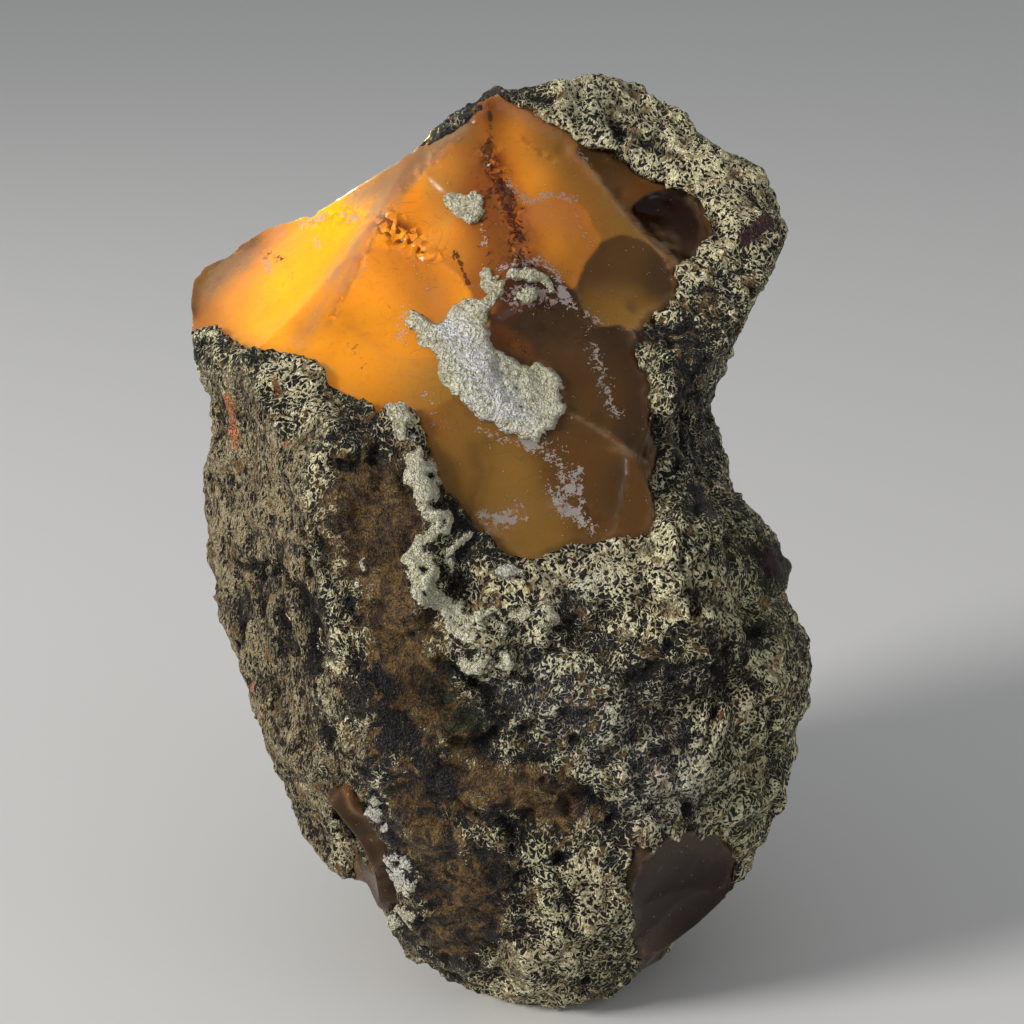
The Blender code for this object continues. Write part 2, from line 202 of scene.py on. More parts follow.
# Colours of the bare opal on each broken face: (colour, line as (across, along), reach).
OPAL_ZONES = {
    "glow_face": [
        ("yellow", [(-18.5, 46.0), (-23.5, 39.5), (-27.5, 32.0)], 4.8),
        ("orange", [(-12.0, 51.0), (-15.5, 44.5)], 2.5),
        ("orange", [(-35.5, 30.0), (-29.0, 26.5)], 3.0),
        ("salmon", [(-37.5, 31.0), (-33.5, 36.5), (-29.0, 40.5)], 2.6),
        ("honey", [(-41.2, 32.2), (-38.5, 36.4)], 1.0),
        ("smoke", [(-42.0, 30.5), (-41.4, 32.5)], 1.0),
        ("bark", [(-41.0, 33.4), (-38.0, 37.2), (-33.5, 40.2)], 0.7),
        ("haze", [(-11.5, 51.5), (-16.0, 48.2), (-19.5, 46.6)], 1.2),
        ("haze", [(-25.5, 27.0), (-24.5, 30.0), (-21.0, 35.0)], 1.6),
        ("haze", [(-38.8, 33.4), (-36.2, 36.4), (-33.5, 38.6)], 1.2),
    ],
    "amber_face": [
        ("orange", [(-18.0, 34.0), (-14.0, 24.0), (-18.5, 23.0)], 6.0),
        ("honey", [(-9.0, 46.0), (-4.5, 53.0)], 2.5),
        ("amber", [(-7.0, 50.5), (-4.5, 54.0)], 2.5),
        ("rust", [(-3.0, 55.0), (-2.5, 48.0)], 2.2),
        ("amber", [(-7.0, 41.0), (-5.0, 39.0)], 3.0),
        ("rust", [(-2.5, 44.0), (-1.5, 36.0)], 3.0),
        ("honey", [(-9.0, 21.0), (-6.0, 12.0)], 5.0),
    ],
    "orange_face": [
        ("orange", [(1.0, 53.0), (3.5, 47.5), (5.0, 44.0)], 3.0),
        ("amber", [(4.0, 53.0), (9.0, 46.0), (11.0, 42.0)], 4.0),
        ("honey", [(7.0, 53.5), (12.0, 48.0), (17.0, 41.5)], 2.2),
        ("salmon", [(9.5, 53.0), (13.5, 48.4)], 0.8),
        ("rust", [(-0.5, 57.0), (0.5, 49.0), (2.0, 41.0), (3.5, 35.0)], 1.8),
        ("salmon", [(0.5, 59.5), (7.0, 55.6)], 1.0),
        ("bark", [(5.0, 58.0), (11.0, 54.5)], 1.4),
    ],
    "brown_face": [
        ("smoke", [(6.0, 31.0), (12.0, 28.0), (17.0, 22.0)], 6.0),
        ("rust", [(2.0, 27.5), (6.0, 24.0)], 2.5),
        ("bark", [(13.0, 20.0), (18.0, 18.0)], 4.0),
    ],
    "honey_face": [
        ("amber", [(-10.5, 19.0), (-9.0, 14.0)], 2.0),
        ("honey", [(-7.0, 13.0), (1.0, 3.0)], 6.0),
        ("bark", [(8.0, 10.0), (13.0, 5.0)], 6.0), ("bark", [(-3.2, 12.5), (-2.4, 9.0), (-3.8, 4.4)], 0.8),
    ],
    "ledge_pit": [("deep", [(22.0, 43.0)], 8.0)],
    "toe_window": [("deep", [(24.0, -46.0)], 9.0)],
    "heel_sliver": [("smoke", [(-18.0, -42.0)], 6.0), ("deep", [(-15.0, -49.0)], 4.0)],
    "back_break": [
        ("orange", [(-20.0, 42.0), (-10.0, 46.0)], 7.0),
        ("amber", [(-12.0, 36.0)], 8.0),
        ("honey", [(-4.0, 30.0), (-20.0, 32.0)], 6.0),
    ],
    "recess": [
        ("bark", [(13.0, 51.5), (17.5, 48.0)], 3.0), ("rust", [(18.0, 47.0), (20.5, 48.5)], 1.8),
        ("smoke", [(14.0, 54.0), (22.0, 50.0)], 2.5), ("smoke", [(20.0, 42.0), (26.0, 36.5)], 2.0),
    ],
    "pit": [("deep", [(22.0, 43.0)], 6.0), ("smoke", [(20.5, 41.5), (25.0, 39.0)], 1.0)],
    "disc": [
        ("bark", [(13.0, 36.0), (18.0, 38.5)], 4.0), ("honey", [(14.0, 31.0), (19.0, 31.0)], 2.5),
        ("smoke", [(22.0, 37.0), (22.5, 34.0)], 2.5),
    ],
    "yellow_facet": [
        ("orange", [(-11.8, 46.6), (-10.5, 44.0)], 2.0), ("honey", [(-8.6, 47.0), (-7.0, 44.0)], 1.6),
        ("amber", [(-8.8, 44.5), (-8.0, 42.0)], 2.0),
    ],
    "amber_shell": [
        ("orange", [(-18.5, 33.0), (-14.5, 27.0)], 4.5), ("orange", [(-7.0, 36.4), (-4.4, 33.0), (-5.0, 29.0)], 1.6),
        ("amber", [(-15.0, 36.5), (-9.5, 34.5), (-8.0, 30.0)], 3.0), ("salmon", [(-9.0, 33.5), (-7.5, 29.5)], 1.4),
    ],
    "lower_orange": [
        ("salmon", [(5.5, 44.0), (10.0, 42.5)], 2.2), ("orange", [(7.5, 41.0)], 2.5), ("rust", [(4.5, 41.0)], 1.6),
        ("amber", [(10.0, 37.0), (12.0, 41.0)], 2.5),
    ],
    "dark_lens": [
        ("smoke", [(4.0, 30.5), (12.0, 27.5), (18.0, 24.0), (18.5, 12.0)], 4.4),
        ("bark", [(9.0, 24.0), (14.0, 20.0), (13.0, 16.5)], 3.0),
        ("rust", [(0.8, 27.6), (3.4, 25.6)], 1.1),
    ],
    "olive_facet": [
        ("honey", [(0.0, 11.0), (1.5, 4.0), (5.5, 1.0)], 3.6), ("bark", [(10.0, 12.5), (13.0, 3.0)], 4.0),
        ("smoke", [(16.5, 6.0)], 3.0),
    ],
    "toe_upper": [("smoke", [(20.0, -42.0), (28.0, -40.0)], 2.0), ("deep", [(24.0, -45.0)], 3.0)],
    "toe_lower": [("deep", [(25.0, -50.0)], 5.0), ("smoke", [(21.0, -55.0)], 2.0)],
}

# Where blows struck the bare opal and how far apart their ripples are.
STRIKES = [((-4.0, 60.0, 2.0), 4.6), ((-12.0, 39.0, 12.0), 2.8), ((24.0, 20.0, 22.0), 5.2), ((30.0, -40.0, 8.0), 3.4)]

# Ridges of the bare opal that are frosted along their crests.
RIDGES = [
    (1, [(-9.5, 51.1), (-13.4, 44.6), (-17.5, 39.8), (-21.0, 34.2), (-23.7, 29.5), (-24.8, 25.6)], 3.0, 1.0),
    (1, [(8.8, 17.6), (12.2, 15.6), (15.5, 13.2), (19.5, 10.7)], 1.0, 0.45),
    (1, [(0.0, 59.0), (8.2, 53.7), (13.0, 48.1), (19.9, 41.2), (23.7, 37.7)], 2.5, 1.0),
]

# What lies on or in the bare opal: (1 for the front, line as (across, along), reach, strength).
VEILS = [
    (1, [(-5.0, 55.4), (-9.1, 52.2), (-13.2, 48.1), (-16.1, 44.6)], 1.2, 0.85),
    (1, [(-16.1, 44.6), (-18.4, 40.6), (-21.3, 34.9)], 1.3, 0.8),
    (1, [(-21.3, 34.9), (-24.8, 29.4), (-27.0, 26.8)], 1.3, 0.4),
    (1, [(-11.0, 51.2), (-15.0, 47.8), (-19.0, 45.6)], 1.3, 0.75),
    (1, [(0.0, 58.4), (8.3, 53.9), (13.0, 48.6)], 0.6, 0.45),
    (1, [(13.0, 48.6), (19.9, 41.2), (23.7, 37.7)], 0.45, 0.5),
    (1, [(-38.6, 35.4), (-34.0, 38.6), (-29.6, 41.6)], 1.0, 0.6),
    (1, [(-39.6, 32.2), (-34.8, 37.3)], 1.2, 0.3),
    (1, [(-3.5, 57.0), (-9.5, 51.4)], 0.7, 0.45),
    (1, [(-2.0, 0.5), (2.0, 3.5)], 2.0, 0.35),
    (1, [(9.0, 17.5), (12.6, 15.2), (16.0, 12.8), (20.0, 10.3)], 0.3, 0.5),
    (1, [(15.2, 12.6), (17.6, 11.6)], 0.7, 0.3),
    (1, [(7.2, 4.6), (9.0, 3.6)], 1.0, 0.4),
    (1, [(2.6, 59.0), (11.3, 54.6)], 1.1, 0.3),
    (1, [(3.0, 30.0), (11.0, 26.0)], 3.0, 0.1),
]
VEINED = [
    (1, [(-1.2, 58.2), (-1.0, 55.1), (-1.6, 52.4)], 0.45, 0.8),
    (1, [(-1.6, 52.4), (-0.5, 49.7), (1.0, 46.4)], 1.0, 0.75),
    (1, [(1.0, 46.4), (2.2, 42.3), (2.8, 37.7)], 1.6, 0.8),
    (1, [(-2.4, 48.6), (-1.8, 42.0), (-0.6, 37.5)], 1.4, 0.45),
    (1, [(-6.0, 38.6), (-4.9, 36.8), (-4.2, 34.4)], 0.36, 1.2),
    (1, [(-31.6, 37.8), (-30.4, 38.4), (-29.4, 37.6)], 0.6, 0.55),
    (1, [(-20.0, 26.5), (-18.0, 23.0)], 0.8, 0.3),
    (1, [(1.0, 27.0), (3.6, 25.0)], 1.0, 0.4),
]
DUSTED = [
    (1, [(1.4, 47.9), (4.1, 45.5), (6.8, 46.4), (10.3, 45.7)], 0.8, 0.5),
    (1, [(10.6, 43.7), (12.4, 39.6)], 0.7, 0.34),
    (1, [(4.8, 13.2), (7.0, 11.5), (9.0, 9.2), (9.6, 7.0)], 1.7, 0.5),
    (1, [(-2.6, 14.8), (1.0, 13.2), (4.4, 12.6)], 0.9, 0.42),
    (1, [(7.0, 6.0), (9.2, 3.6)], 1.3, 0.46),
    (1, [(10.2, 3.6), (12.6, 1.4)], 1.1, 0.56),
    (1, [(-2.2, 3.2), (1.8, 2.4)], 1.0, 0.44),
    (1, [(3.7, 2.8)], 0.45, 0.8),
    (1, [(11.0, 9.4), (11.2, 4.6)], 0.5, 0.4),
    (1, [(12.0, 30.4), (14.4, 28.6)], 0.8, 0.42),
    (1, [(-26.4, 42.4), (-23.7, 43.6)], 0.9, 0.5),
    (1, [(-20.6, 43.6), (-19.0, 43.0)], 0.7, 0.5),
    (1, [(-24.8, 40.4), (-24.2, 39.4)], 0.6, 0.48),
    (1, [(-31.6, 37.6), (-30.8, 36.4)], 0.7, 0.45),
    (1, [(-18.0, 36.8), (-19.0, 35.4)], 0.6, 0.45),
    (1, [(-12.5, 30.6), (-13.0, 27.0)], 1.0, 0.4),
    (1, [(-9.5, 19.0), (-8.0, 14.0)], 1.0, 0.36),
    (1, [(2.5, 31.8), (8.5, 32.4)], 1.4, 0.42),
    (1, [(0.4, 36.4), (2.8, 37.2), (5.4, 37.6), (7.6, 36.0), (8.4, 34.0)], 0.8, 0.5),
    (1, [(0.6, 33.0), (3.4, 34.0), (6.0, 33.4)], 0.7, 0.46),
    (1, [(8.6, 33.4), (10.6, 31.0)], 0.6, 0.45),
    (1, [(12.8, 25.2), (14.2, 21.6), (15.6, 16.8)], 1.1, 0.44),
    (1, [(11.7, 28.1)], 0.7, 0.42),
    (1, [(-2.2, 42.0), (-1.6, 39.4)], 0.6, 0.42),
    (1, [(-1.0, 1.0), (3.0, 4.5)], 1.8, 0.3),
    (1, [(10.0, 54.0), (13.0, 49.0)], 0.5, 0.32),
]
# Painted glow of the opal, given out as emission in place of the beam's light through the stone: (1 for the front, line
# as (across, along), reach, strength).
PAINTED_GLOW = [
    (1, [(-21.0, 44.6), (-23.0, 42.9), (-26.8, 39.4), (-28.8, 33.5), (-30.3, 30.4)], 4.0, 0.75),
    (1, [(-18.5, 46.0), (-24.0, 40.0), (-29.0, 32.5)], 7.0, 0.5),
    (1, [(-17.0, 33.0), (-14.0, 25.0), (-19.0, 24.0)], 6.0, 0.5),
    (1, [(-10.0, 46.0), (-6.0, 37.0), (-4.5, 33.0)], 4.0, 0.32),
    (1, [(-35.5, 29.0), (-30.0, 26.5), (-25.2, 26.0)], 2.6, 0.3),
    (1, [(-26.8, 28.1)], 2.0, -0.25),
    (1, [(-12.0, 51.0), (-16.0, 47.5), (-20.0, 46.0)], 1.8, -0.5),
    (1, [(-41.0, 32.0), (-37.4, 37.2), (-32.5, 40.4)], 1.5, -0.35),
    (1, [(-36.5, 32.5), (-30.0, 39.0)], 2.2, 0.3),
    (1, [(-9.0, 40.0), (-6.4, 42.0)], 2.2, 0.3),
    (1, [(2.0, 55.0), (4.5, 49.5)], 3.0, 0.35),
    (1, [(-10.4, 49.0), (-7.5, 51.0)], 2.4, 0.3),
    (1, [(5.0, 47.0), (7.0, 40.0)], 4.0, 0.2),
    (1, [(0.6, 46.1)], 0.8, 0.4),
    (1, [(2.9, 39.3)], 1.0, 0.6),
    (1, [(1.6, 8.6)], 3.0, 0.06),
]

# Zones of the rind: (1 for the front, -1 for the back or 0 for both, line as (across, along), reach, strength).
CREAM = [
    (1, [(8.0, 60.0), (19.0, 56.0), (28.0, 49.0), (32.0, 42.0)], 8.0, 0.36),
    (1, [(0.0, 61.0), (6.0, 58.5)], 2.5, -0.5),
    (1, [(-1.2, 60.0), (-5.2, 57.0), (-10.6, 53.4)], 2.0, -0.5),
    (1, [(-19.5, 13.5)], 2.8, 0.42),
    (1, [(31.0, 36.0), (28.0, 30.0)], 4.5, -0.12),
    (1, [(20.0, 26.0), (21.5, 16.0), (22.0, 6.0)], 2.5, 0.10),
    (1, [(26.0, 26.0), (26.5, 14.0), (27.0, 4.0)], 3.4, -0.32),
    (1, [(2.0, -6.0), (16.0, -4.0), (26.0, -4.0)], 6.0, 0.24),
    (1, [(-4.0, -12.0), (4.0, -14.0)], 4.0, 0.14),
    (1, [(31.0, -12.0), (35.0, -24.0), (30.0, -34.0)], 7.0, 0.10),
    (1, [(6.0, -42.0), (14.0, -46.0), (8.0, -52.0), (2.0, -60.0)], 6.5, 0.22),
    (1, [(-25.7, 5.5), (-22.1, -8.2), (-20.7, -17.3), (-20.0, -28.0)], 2.2, 0.12),
    (1, [(-31.0, 24.0), (-26.0, 18.0), (-24.5, 10.0)], 4.0, 0.06),
    (1, [(8.0, -22.0), (18.0, -26.0), (26.0, -18.0)], 7.0, -0.12),
    (1, [(10.0, -12.0), (16.0, -9.0)], 3.0, -0.14),
    (1, [(-19.5, 13.0), (-17.0, 5.0), (-15.0, -4.0), (-12.0, -13.0)], 4.4, -0.62),
    (1, [(-12.0, 3.0), (-6.5, 5.0), (-3.5, -1.5)], 2.6, -0.4),
    (1, [(-15.0, -22.0), (-12.0, -30.0), (-9.0, -42.0), (-5.0, -50.0)], 6.5, -0.5),
    (1, [(-4.0, -26.0), (-8.0, -20.0)], 3.0, -0.4),
    (1, [(-2.0, -33.0), (4.0, -34.2), (8.5, -36.5)], 3.8, -0.55),
    (1, [(0.0, -44.0), (-2.0, -50.0)], 4.0, -0.35),
    (1, [(33.6, 40.6), (36.0, 42.4)], 1.8, -0.5),
    (1, [(37.0, -3.0)], 3.2, -0.6),
    (1, [(-5.6, -56.1)], 3.5, -0.4),
    (-1, [(8.0, 12.0), (18.0, -2.0)], 6.0, -0.35),
    (-1, [(-14.0, -28.0), (-4.0, -38.0)], 7.0, -0.32),
    (-1, [(-22.0, 4.0), (-28.0, -12.0)], 6.0, 0.16),
    (-1, [(20.0, 44.0), (28.0, 34.0)], 6.0, 0.16),
    (-1, [(16.0, -22.0), (8.0, -34.0)], 5.0, 0.14),
]
EARTH = [
    (1, [(-20.5, 4.0), (-17.0, -3.0), (-13.5, -10.0), (-11.5, -15.0)], 5.0, 1.0),
    (1, [(-14.0, 8.0), (-12.0, 2.0)], 3.0, 0.5),
    (1, [(-2.0, -32.5), (4.0, -34.0), (8.5, -36.5)], 3.6, 0.85),
    (1, [(-10.0, -23.0), (-6.0, -27.5)], 3.0, 0.5),
    (1, [(-12.0, -36.0), (-6.0, -44.0), (-4.0, -52.0)], 6.0, 0.45),
    (1, [(-8.3, -53.8)], 1.2, 0.9),
    (-1, [(10.0, 10.0), (18.0, -4.0)], 9.0, 0.8),
    (-1, [(-14.0, -30.0), (-4.0, -40.0)], 9.0, 0.7),
]
CRUSTED = [
    (1, [(-13.4, 17.0), (-12.6, 14.0), (-11.4, 11.0), (-10.6, 8.2)], 1.7, 1.15),
    (1, [(-9.2, 11.2), (-8.4, 10.0)], 1.2, 1.0),
    (1, [(-10.6, 8.2), (-9.0, 4.5), (-7.3, 2.2)], 1.5, 1.15),
    (1, [(-9.4, 0.5), (-12.0, -2.8)], 1.2, 1.0),
    (1, [(-12.1, -3.2), (-9.6, -6.2), (-7.6, -8.8)], 1.7, 1.1),
    (1, [(-6.7, -3.7), (-6.0, -1.0), (-4.4, 0.4)], 1.0, 1.0),
    (1, [(-5.6, -10.8), (-5.0, -14.0), (-3.0, -17.0), (2.5, -18.0)], 2.4, 0.85),
    (1, [(-1.0, -10.5), (6.5, -11.0)], 2.2, 0.62),
    (1, [(1.6, -4.6)], 1.7, 1.0),
    (1, [(-19.4, -5.7)], 1.1, 1.2),
    (1, [(-17.8, -3.4)], 0.7, 1.1),
    (1, [(-17.3, -36.1)], 1.3, 0.95),
    (1, [(-15.7, -39.2)], 1.0, 0.95),
    (1, [(-14.4, -43.6), (-12.0, -46.2)], 1.9, 0.95),
    (1, [(-13.6, -51.2), (-11.6, -51.8)], 0.9, 1.0),
    (-1, [(-4.0, 18.0), (1.0, 13.0), (7.0, 9.0)], 1.7, 0.95),
    (-1, [(16.0, -16.0), (12.0, -21.0)], 1.6, 0.95),
    (-1, [(-20.0, -20.0), (-22.0, -25.0)], 1.4, 0.9),
]
BLOOM = [
    (1, [(-6.5, 28.0), (-3.5, 25.0), (-1.5, 20.0), (2.0, 17.0)], 2.6, 1.0),
    (1, [(-1.0, -5.0), (2.0, -4.0)], 1.5, 0.8),
    (1, [(-16.5, -37.0), (-13.0, -45.0)], 3.0, 0.7),
]
RUST = [
    (1, [(-36.6, 19.1), (-35.2, 12.2)], 0.9, 0.9),
    (1, [(-30.6, 23.1), (-29.6, 20.0)], 0.6, 0.8),
    (1, [(-29.4, 17.0), (-28.6, 12.5)], 0.4, 0.75),
    (1, [(-33.5, -20.0)], 1.2, 0.9),
    (1, [(-22.6, -14.0), (-22.2, -19.0)], 0.5, 0.8),
    (0, [(20.0, 30.0), (22.0, 24.0)], 2.0, 0.3),
]
OLIVE = [
    (1, [(-9.0, -22.0), (-4.0, -25.0)], 3.0, 1.0),
    (1, [(34.0, 2.0), (36.0, -10.0)], 6.0, 0.7),
    (1, [(30.0, -40.0), (34.0, -30.0)], 5.0, 0.5),
    (1, [(10.0, 60.0), (20.0, 57.0)], 4.0, 0.25),
    (-1, [(0.0, 14.0)], 12.0, 0.6),
]
PLUM = [
    (1, [(33.4, 40.6), (36.0, 42.8)], 1.6, 1.0),
    (1, [(37.0, -3.0)], 2.6, 1.0),
    (1, [(8.8, -10.6)], 1.6, 0.8),
    (1, [(27.0, -7.0), (29.5, -9.0)], 2.2, 0.7),
    (1, [(31.0, 46.0)], 2.0, 0.6),
]
SLATE = [
    (1, [(4.0, -20.0), (14.0, -25.0), (22.0, -30.0)], 7.0, 0.9),
    (1, [(8.0, -9.0), (13.0, -6.0)], 3.0, 0.8),
    (1, [(19.0, -36.0), (26.0, -35.0)], 3.0, 0.7),
    (1, [(12.0, 59.0), (17.0, 53.0)], 3.0, 0.5),
    (1, [(-1.2, 60.0), (-5.2, 57.0), (-10.6, 53.4)], 2.4, 1.0),
    (1, [(-17.0, -33.0), (-12.0, -54.0)], 3.0, 0.6),
    (-1, [(-6.0, 4.0), (8.0, -14.0)], 14.0, 0.5),
]
# Creases and overhung edges of the rind, with their depth as the strength; the rind's material darkens them too, as
# painted shade.
FOLDS = [
    (1, [(-36.0, -2.6), (-32.5, -4.2), (-29.9, -3.7), (-27.0, -7.0), (-25.3, -10.5), (-24.9, -15.5)], 0.8, 2.4),
    (1, [(-33.0, -9.0), (-28.5, -12.0), (-27.0, -17.0)], 2.6, 1.4),
    (1, [(-24.4, 1.5), (-23.0, -4.0), (-20.8, -11.0), (-18.8, -19.0)], 0.6, 1.5),
    (1, [(-23.0, 10.6), (-20.5, 9.6), (-17.6, 10.2), (-16.0, 12.4)], 0.5, 2.2),
    (1, [(-14.5, 12.0), (-12.8, 6.0), (-10.6, 1.5), (-12.4, -1.0)], 0.5, 1.6),
    (1, [(-20.5, -8.5), (-16.5, -9.4), (-13.5, -12.0)], 0.4, 1.4),
    (1, [(-18.5, -11.0), (-14.0, -13.6), (-11.4, -12.6)], 0.4, 1.3),
    (1, [(-8.4, -17.0), (-4.5, -19.2), (-1.3, -20.6), (0.9, -24.6), (-2.0, -27.2), (-6.0, -28.0)], 0.7, 2.3),
    (1, [(-10.5, -20.5), (-5.0, -23.6)], 2.2, 1.5),
    (1, [(-6.0, -36.4), (0.6, -38.4), (3.8, -44.6), (1.2, -48.0)], 0.5, 1.6),
    (1, [(3.0, -18.6), (8.0, -12.4), (14.0, -8.2)], 0.7, 1.8),
    (1, [(-2.0, -19.4), (3.4, -18.8), (9.0, -20.4)], 0.5, 1.5),
    (1, [(5.0, -25.0), (12.0, -23.6), (20.0, -18.0), (25.0, -12.0)], 0.7, 1.7),
    (1, [(11.0, -29.2), (18.0, -30.2), (24.0, -28.4), (30.0, -22.0)], 0.6, 1.6),
    (1, [(9.0, -33.0), (16.0, -37.0), (22.0, -38.0)], 0.6, 1.3),
    (1, [(27.0, 4.0), (25.0, -4.0), (27.0, -12.0)], 0.7, 1.4),
    (1, [(23.5, 28.0), (25.0, 20.0), (24.6, 10.0)], 0.6, 1.4),
    (1, [(27.6, 34.0), (31.0, 36.0), (35.0, 34.0)], 0.8, 1.8),
    (1, [(13.0, 57.6), (20.0, 53.6), (25.6, 50.0)], 0.6, 1.3),
    (-1, [(-24.0, 14.0), (-10.0, 8.0), (4.0, 10.0), (16.0, 4.0)], 1.2, 1.6),
    (-1, [(-18.0, -12.0), (-4.0, -20.0), (12.0, -18.0), (24.0, -26.0)], 1.0, 1.6),
    (-1, [(-6.0, -34.0), (6.0, -38.0), (16.0, -46.0)], 0.9, 1.4),
]


# ---------------------------------------------------------------- measures in the leaning plane


def leaning_axes():
    return np.array([
        (1.0, 0.0, 0.0),
        (0.0, math.sin(LEAN), math.cos(LEAN)),
        (0.0, -math.cos(LEAN), math.sin(LEAN)),
    ])


def to_plane(points):
    return (points - np.array(PLANE_CENTRE)) @ leaning_axes().T / MM


def from_plane(points):
    return (points * MM) @ leaning_axes() + np.array(PLANE_CENTRE)


def seen(points):
    """Across and along of each point, as the eye sees it against the leaning plane."""
    return EYE[:2] + (points[:, :2] - EYE[:2]) * (EYE[2] / (EYE[2] - points[:, 2]))[:, None]


def distance_to_line(spots, line):
    """Distance from each spot to a line of points, or to its one point."""
    line = np.array(line, float)
    if len(line) == 1:
        return np.linalg.norm(spots - line[0], axis=1)
    nearest = np.full(len(spots), np.inf)
    for start, end in zip(line, line[1:]):
        side = end - start
        share = np.clip((spots - start) @ side / (side @ side), 0, 1)
        nearest = np.minimum(nearest, np.linalg.norm(spots - start - share[:, None] * side, axis=1))
    return nearest


def distance_to_outline(spots, outline):
    """Distance from each spot to a closed outline, less than nothing inside it."""
    ring = list(outline) + [outline[0]]
    within = np.zeros(len(spots), bool)
    for (x1, y1), (x2, y2) in zip(ring, ring[1:]):
        if y1 != y2:
            crosses = (y1 > spots[:, 1]) != (y2 > spots[:, 1])
            within ^= crosses & (spots[:, 0] < (x2 - x1) * (spots[:, 1] - y1) / (y2 - y1) + x1)
    reach = distance_to_line(spots, ring)
    return np.where(within, -reach, reach)


def curved(outline):
    """The closed outline as one smooth curve through its points."""
    ring = np.array(outline, float)
    before, after, beyond = np.roll(ring, 1, 0), np.roll(ring, -1, 0), np.roll(ring, -2, 0)
    steps = []
    for share in (0.0, 0.25, 0.5, 0.75):
        straight = 2 * ring + (after - before) * share
        bend = (2 * before - 5 * ring + 4 * after - beyond) * share ** 2
        twist = (3 * ring - before - 3 * after + beyond) * share ** 3
        steps.append((straight + bend + twist) / 2)
    return np.stack(steps, 1).reshape(-1, 2)


def ease(values, low, high):
    share = np.clip((values - low) / (high - low), 0, 1)
    return share * share * (3 - 2 * share)


def turned(degrees):
    """Turns points about the out axis, so that this much clockwise from along becomes the second axis."""
    angle = math.radians(degrees)
    return np.array([
        (math.cos(angle), math.sin(angle), 0.0), (-math.sin(angle), math.cos(angle), 0.0), (0.0, 0.0, 1.0)
    ])


def noise_at(points, size, shift=0.0):
    """Smooth noise from about -1 to 1, with lumps of this size."""
    moved = points / size + np.array((shift, 1.7 * shift + 3.1, 0.6 * shift + 7.7))
    return np.array([noise.noise(Vector(p)) for p in moved])


def noise_shift(points, size, shift=0.0):
    moved = points / size + np.array((shift, 1.7 * shift + 3.1, 0.6 * shift + 7.7))
    return np.array([noise.noise_vector(Vector(p)) for p in moved])


def zone(points, facing, strokes):
    """Strength of these strokes at each point."""
    total = np.zeros(len(points))
    front = seen(points)
    for side, line, reach, strength in strokes:
        share = distance_to_line(points[:, :2] if side < 0 else front, line) / reach
        here = np.exp(-share * share) * strength
        if side:
            here *= ease(facing * side, -0.25, 0.15)
        total += here
    return total


def bare_distance(points, facing):
    """Distance in millimetres from the bare opal's ragged borders, less than nothing on bare opal."""
    ragged = noise_shift(points, 3.0)[:, :2] * 0.9 + noise_shift(points, 0.9, 5.0)[:, :2] * 0.4
    nearest = np.full(len(points), 50.0)
    for side, outline in BARE.values():
        spots = points[:, :2] if side < 0 else seen(points)
        away = distance_to_outline(spots + ragged, curved(outline))
        nearest = np.minimum(nearest, np.maximum(away, (-0.05 - facing * side) * 12.0))
    return nearest


def crust_distance(points):
    spots = seen(points) + noise_shift(points, 1.8, 9.0)[:, :2] * 0.9 + noise_shift(points, 0.8, 2.0)[:, :2] * 0.5
    nearest = np.full(len(points), 50.0)
    for outline in CRUST.values():
        nearest = np.minimum(nearest, distance_to_outline(spots, curved(outline)))
    return np.where(points[:, 2] > 0, nearest, 50.0)


def scar_ball(name):
    middle, facing, radius = SCARS[name]
    way = np.array(facing) / np.linalg.norm(facing)
    return np.array(middle) + way * radius, radius


def scar_depths(points):
    """How deep each point is in each scar's ball, in millimetres, by point and ball."""
    depths = []
    for name in SCARS:
        centre, radius = scar_ball(name)
        depths.append(radius - np.linalg.norm(points - centre, axis=1))
    return np.array(depths).T


def drop_onto_scars(points, weight):
    """Points moved onto the scar's ball that cuts deepest there, by this weight."""
    deepest = scar_depths(points).argmax(axis=1)
    moved = points.copy()
    for index, name in enumerate(SCARS):
        centre, radius = scar_ball(name)
        mine = deepest == index
        spoke = points[mine] - centre
        reach = np.linalg.norm(spoke, axis=1, keepdims=True)
        moved[mine] = centre + spoke / reach * radius
    return points + (moved - points) * weight[:, None]


def flake_edges(points):
    """Distance from each flake's edge at each point, less than nothing inside it, by flake."""
    spots = seen(points) + noise_shift(points, 2.5, 13.0)[:, :2] * 0.3
    edges = {}
    for name, (outline, _, _) in FLAKES.items():
        edges[name] = np.where(points[:, 2] > -4.0, distance_to_outline(spots, curved(outline)), 50.0)
    return edges


def flake_depth(edges):
    """How deep the flakes cut in all."""
    depth = 0.0
    for name, (_, steep, deepest) in FLAKES.items():
        depth = depth + deepest * (1 - np.exp(np.minimum(edges[name], 0) * steep / deepest))
    return depth


# ---------------------------------------------------------------- meshes


def read(mesh, what="co"):
    values = np.empty(len(mesh.vertices) * 3)
    mesh.vertices.foreach_get(what, values)
    return values.reshape(-1, 3)


def put_back(mesh, points):
    mesh.vertices.foreach_set("co", points.reshape(-1))
    mesh.update()


def finished(mesh, *modifiers, groups=()):
    """The mesh after these modifiers: each is (type, values)."""
    holder = bpy.data.objects.new("holder", mesh)
    bpy.context.scene.collection.objects.link(holder)
    for name, weights in groups:
        group = holder.vertex_groups.new(name=name)
        group.add([int(i) for i in np.nonzero(weights)[0]], 1.0, "REPLACE")
    for kind, values in modifiers:
        modifier = holder.modifiers.new(kind.lower(), kind)
        for key, value in values.items():
            setattr(modifier, key, value)
    bpy.context.view_layer.update()
    graph = bpy.context.evaluated_depsgraph_get()
    made = bpy.data.meshes.new_from_object(holder.evaluated_get(graph), preserve_all_data_layers=True, depsgraph=graph)
    members = {}
    for group in holder.vertex_groups:
        members[group.name] = np.array([
            any(g.group == group.index and g.weight > 0.5 for g in vert.groups) for vert in made.vertices
        ])
    bpy.data.objects.remove(holder)
    return made, members


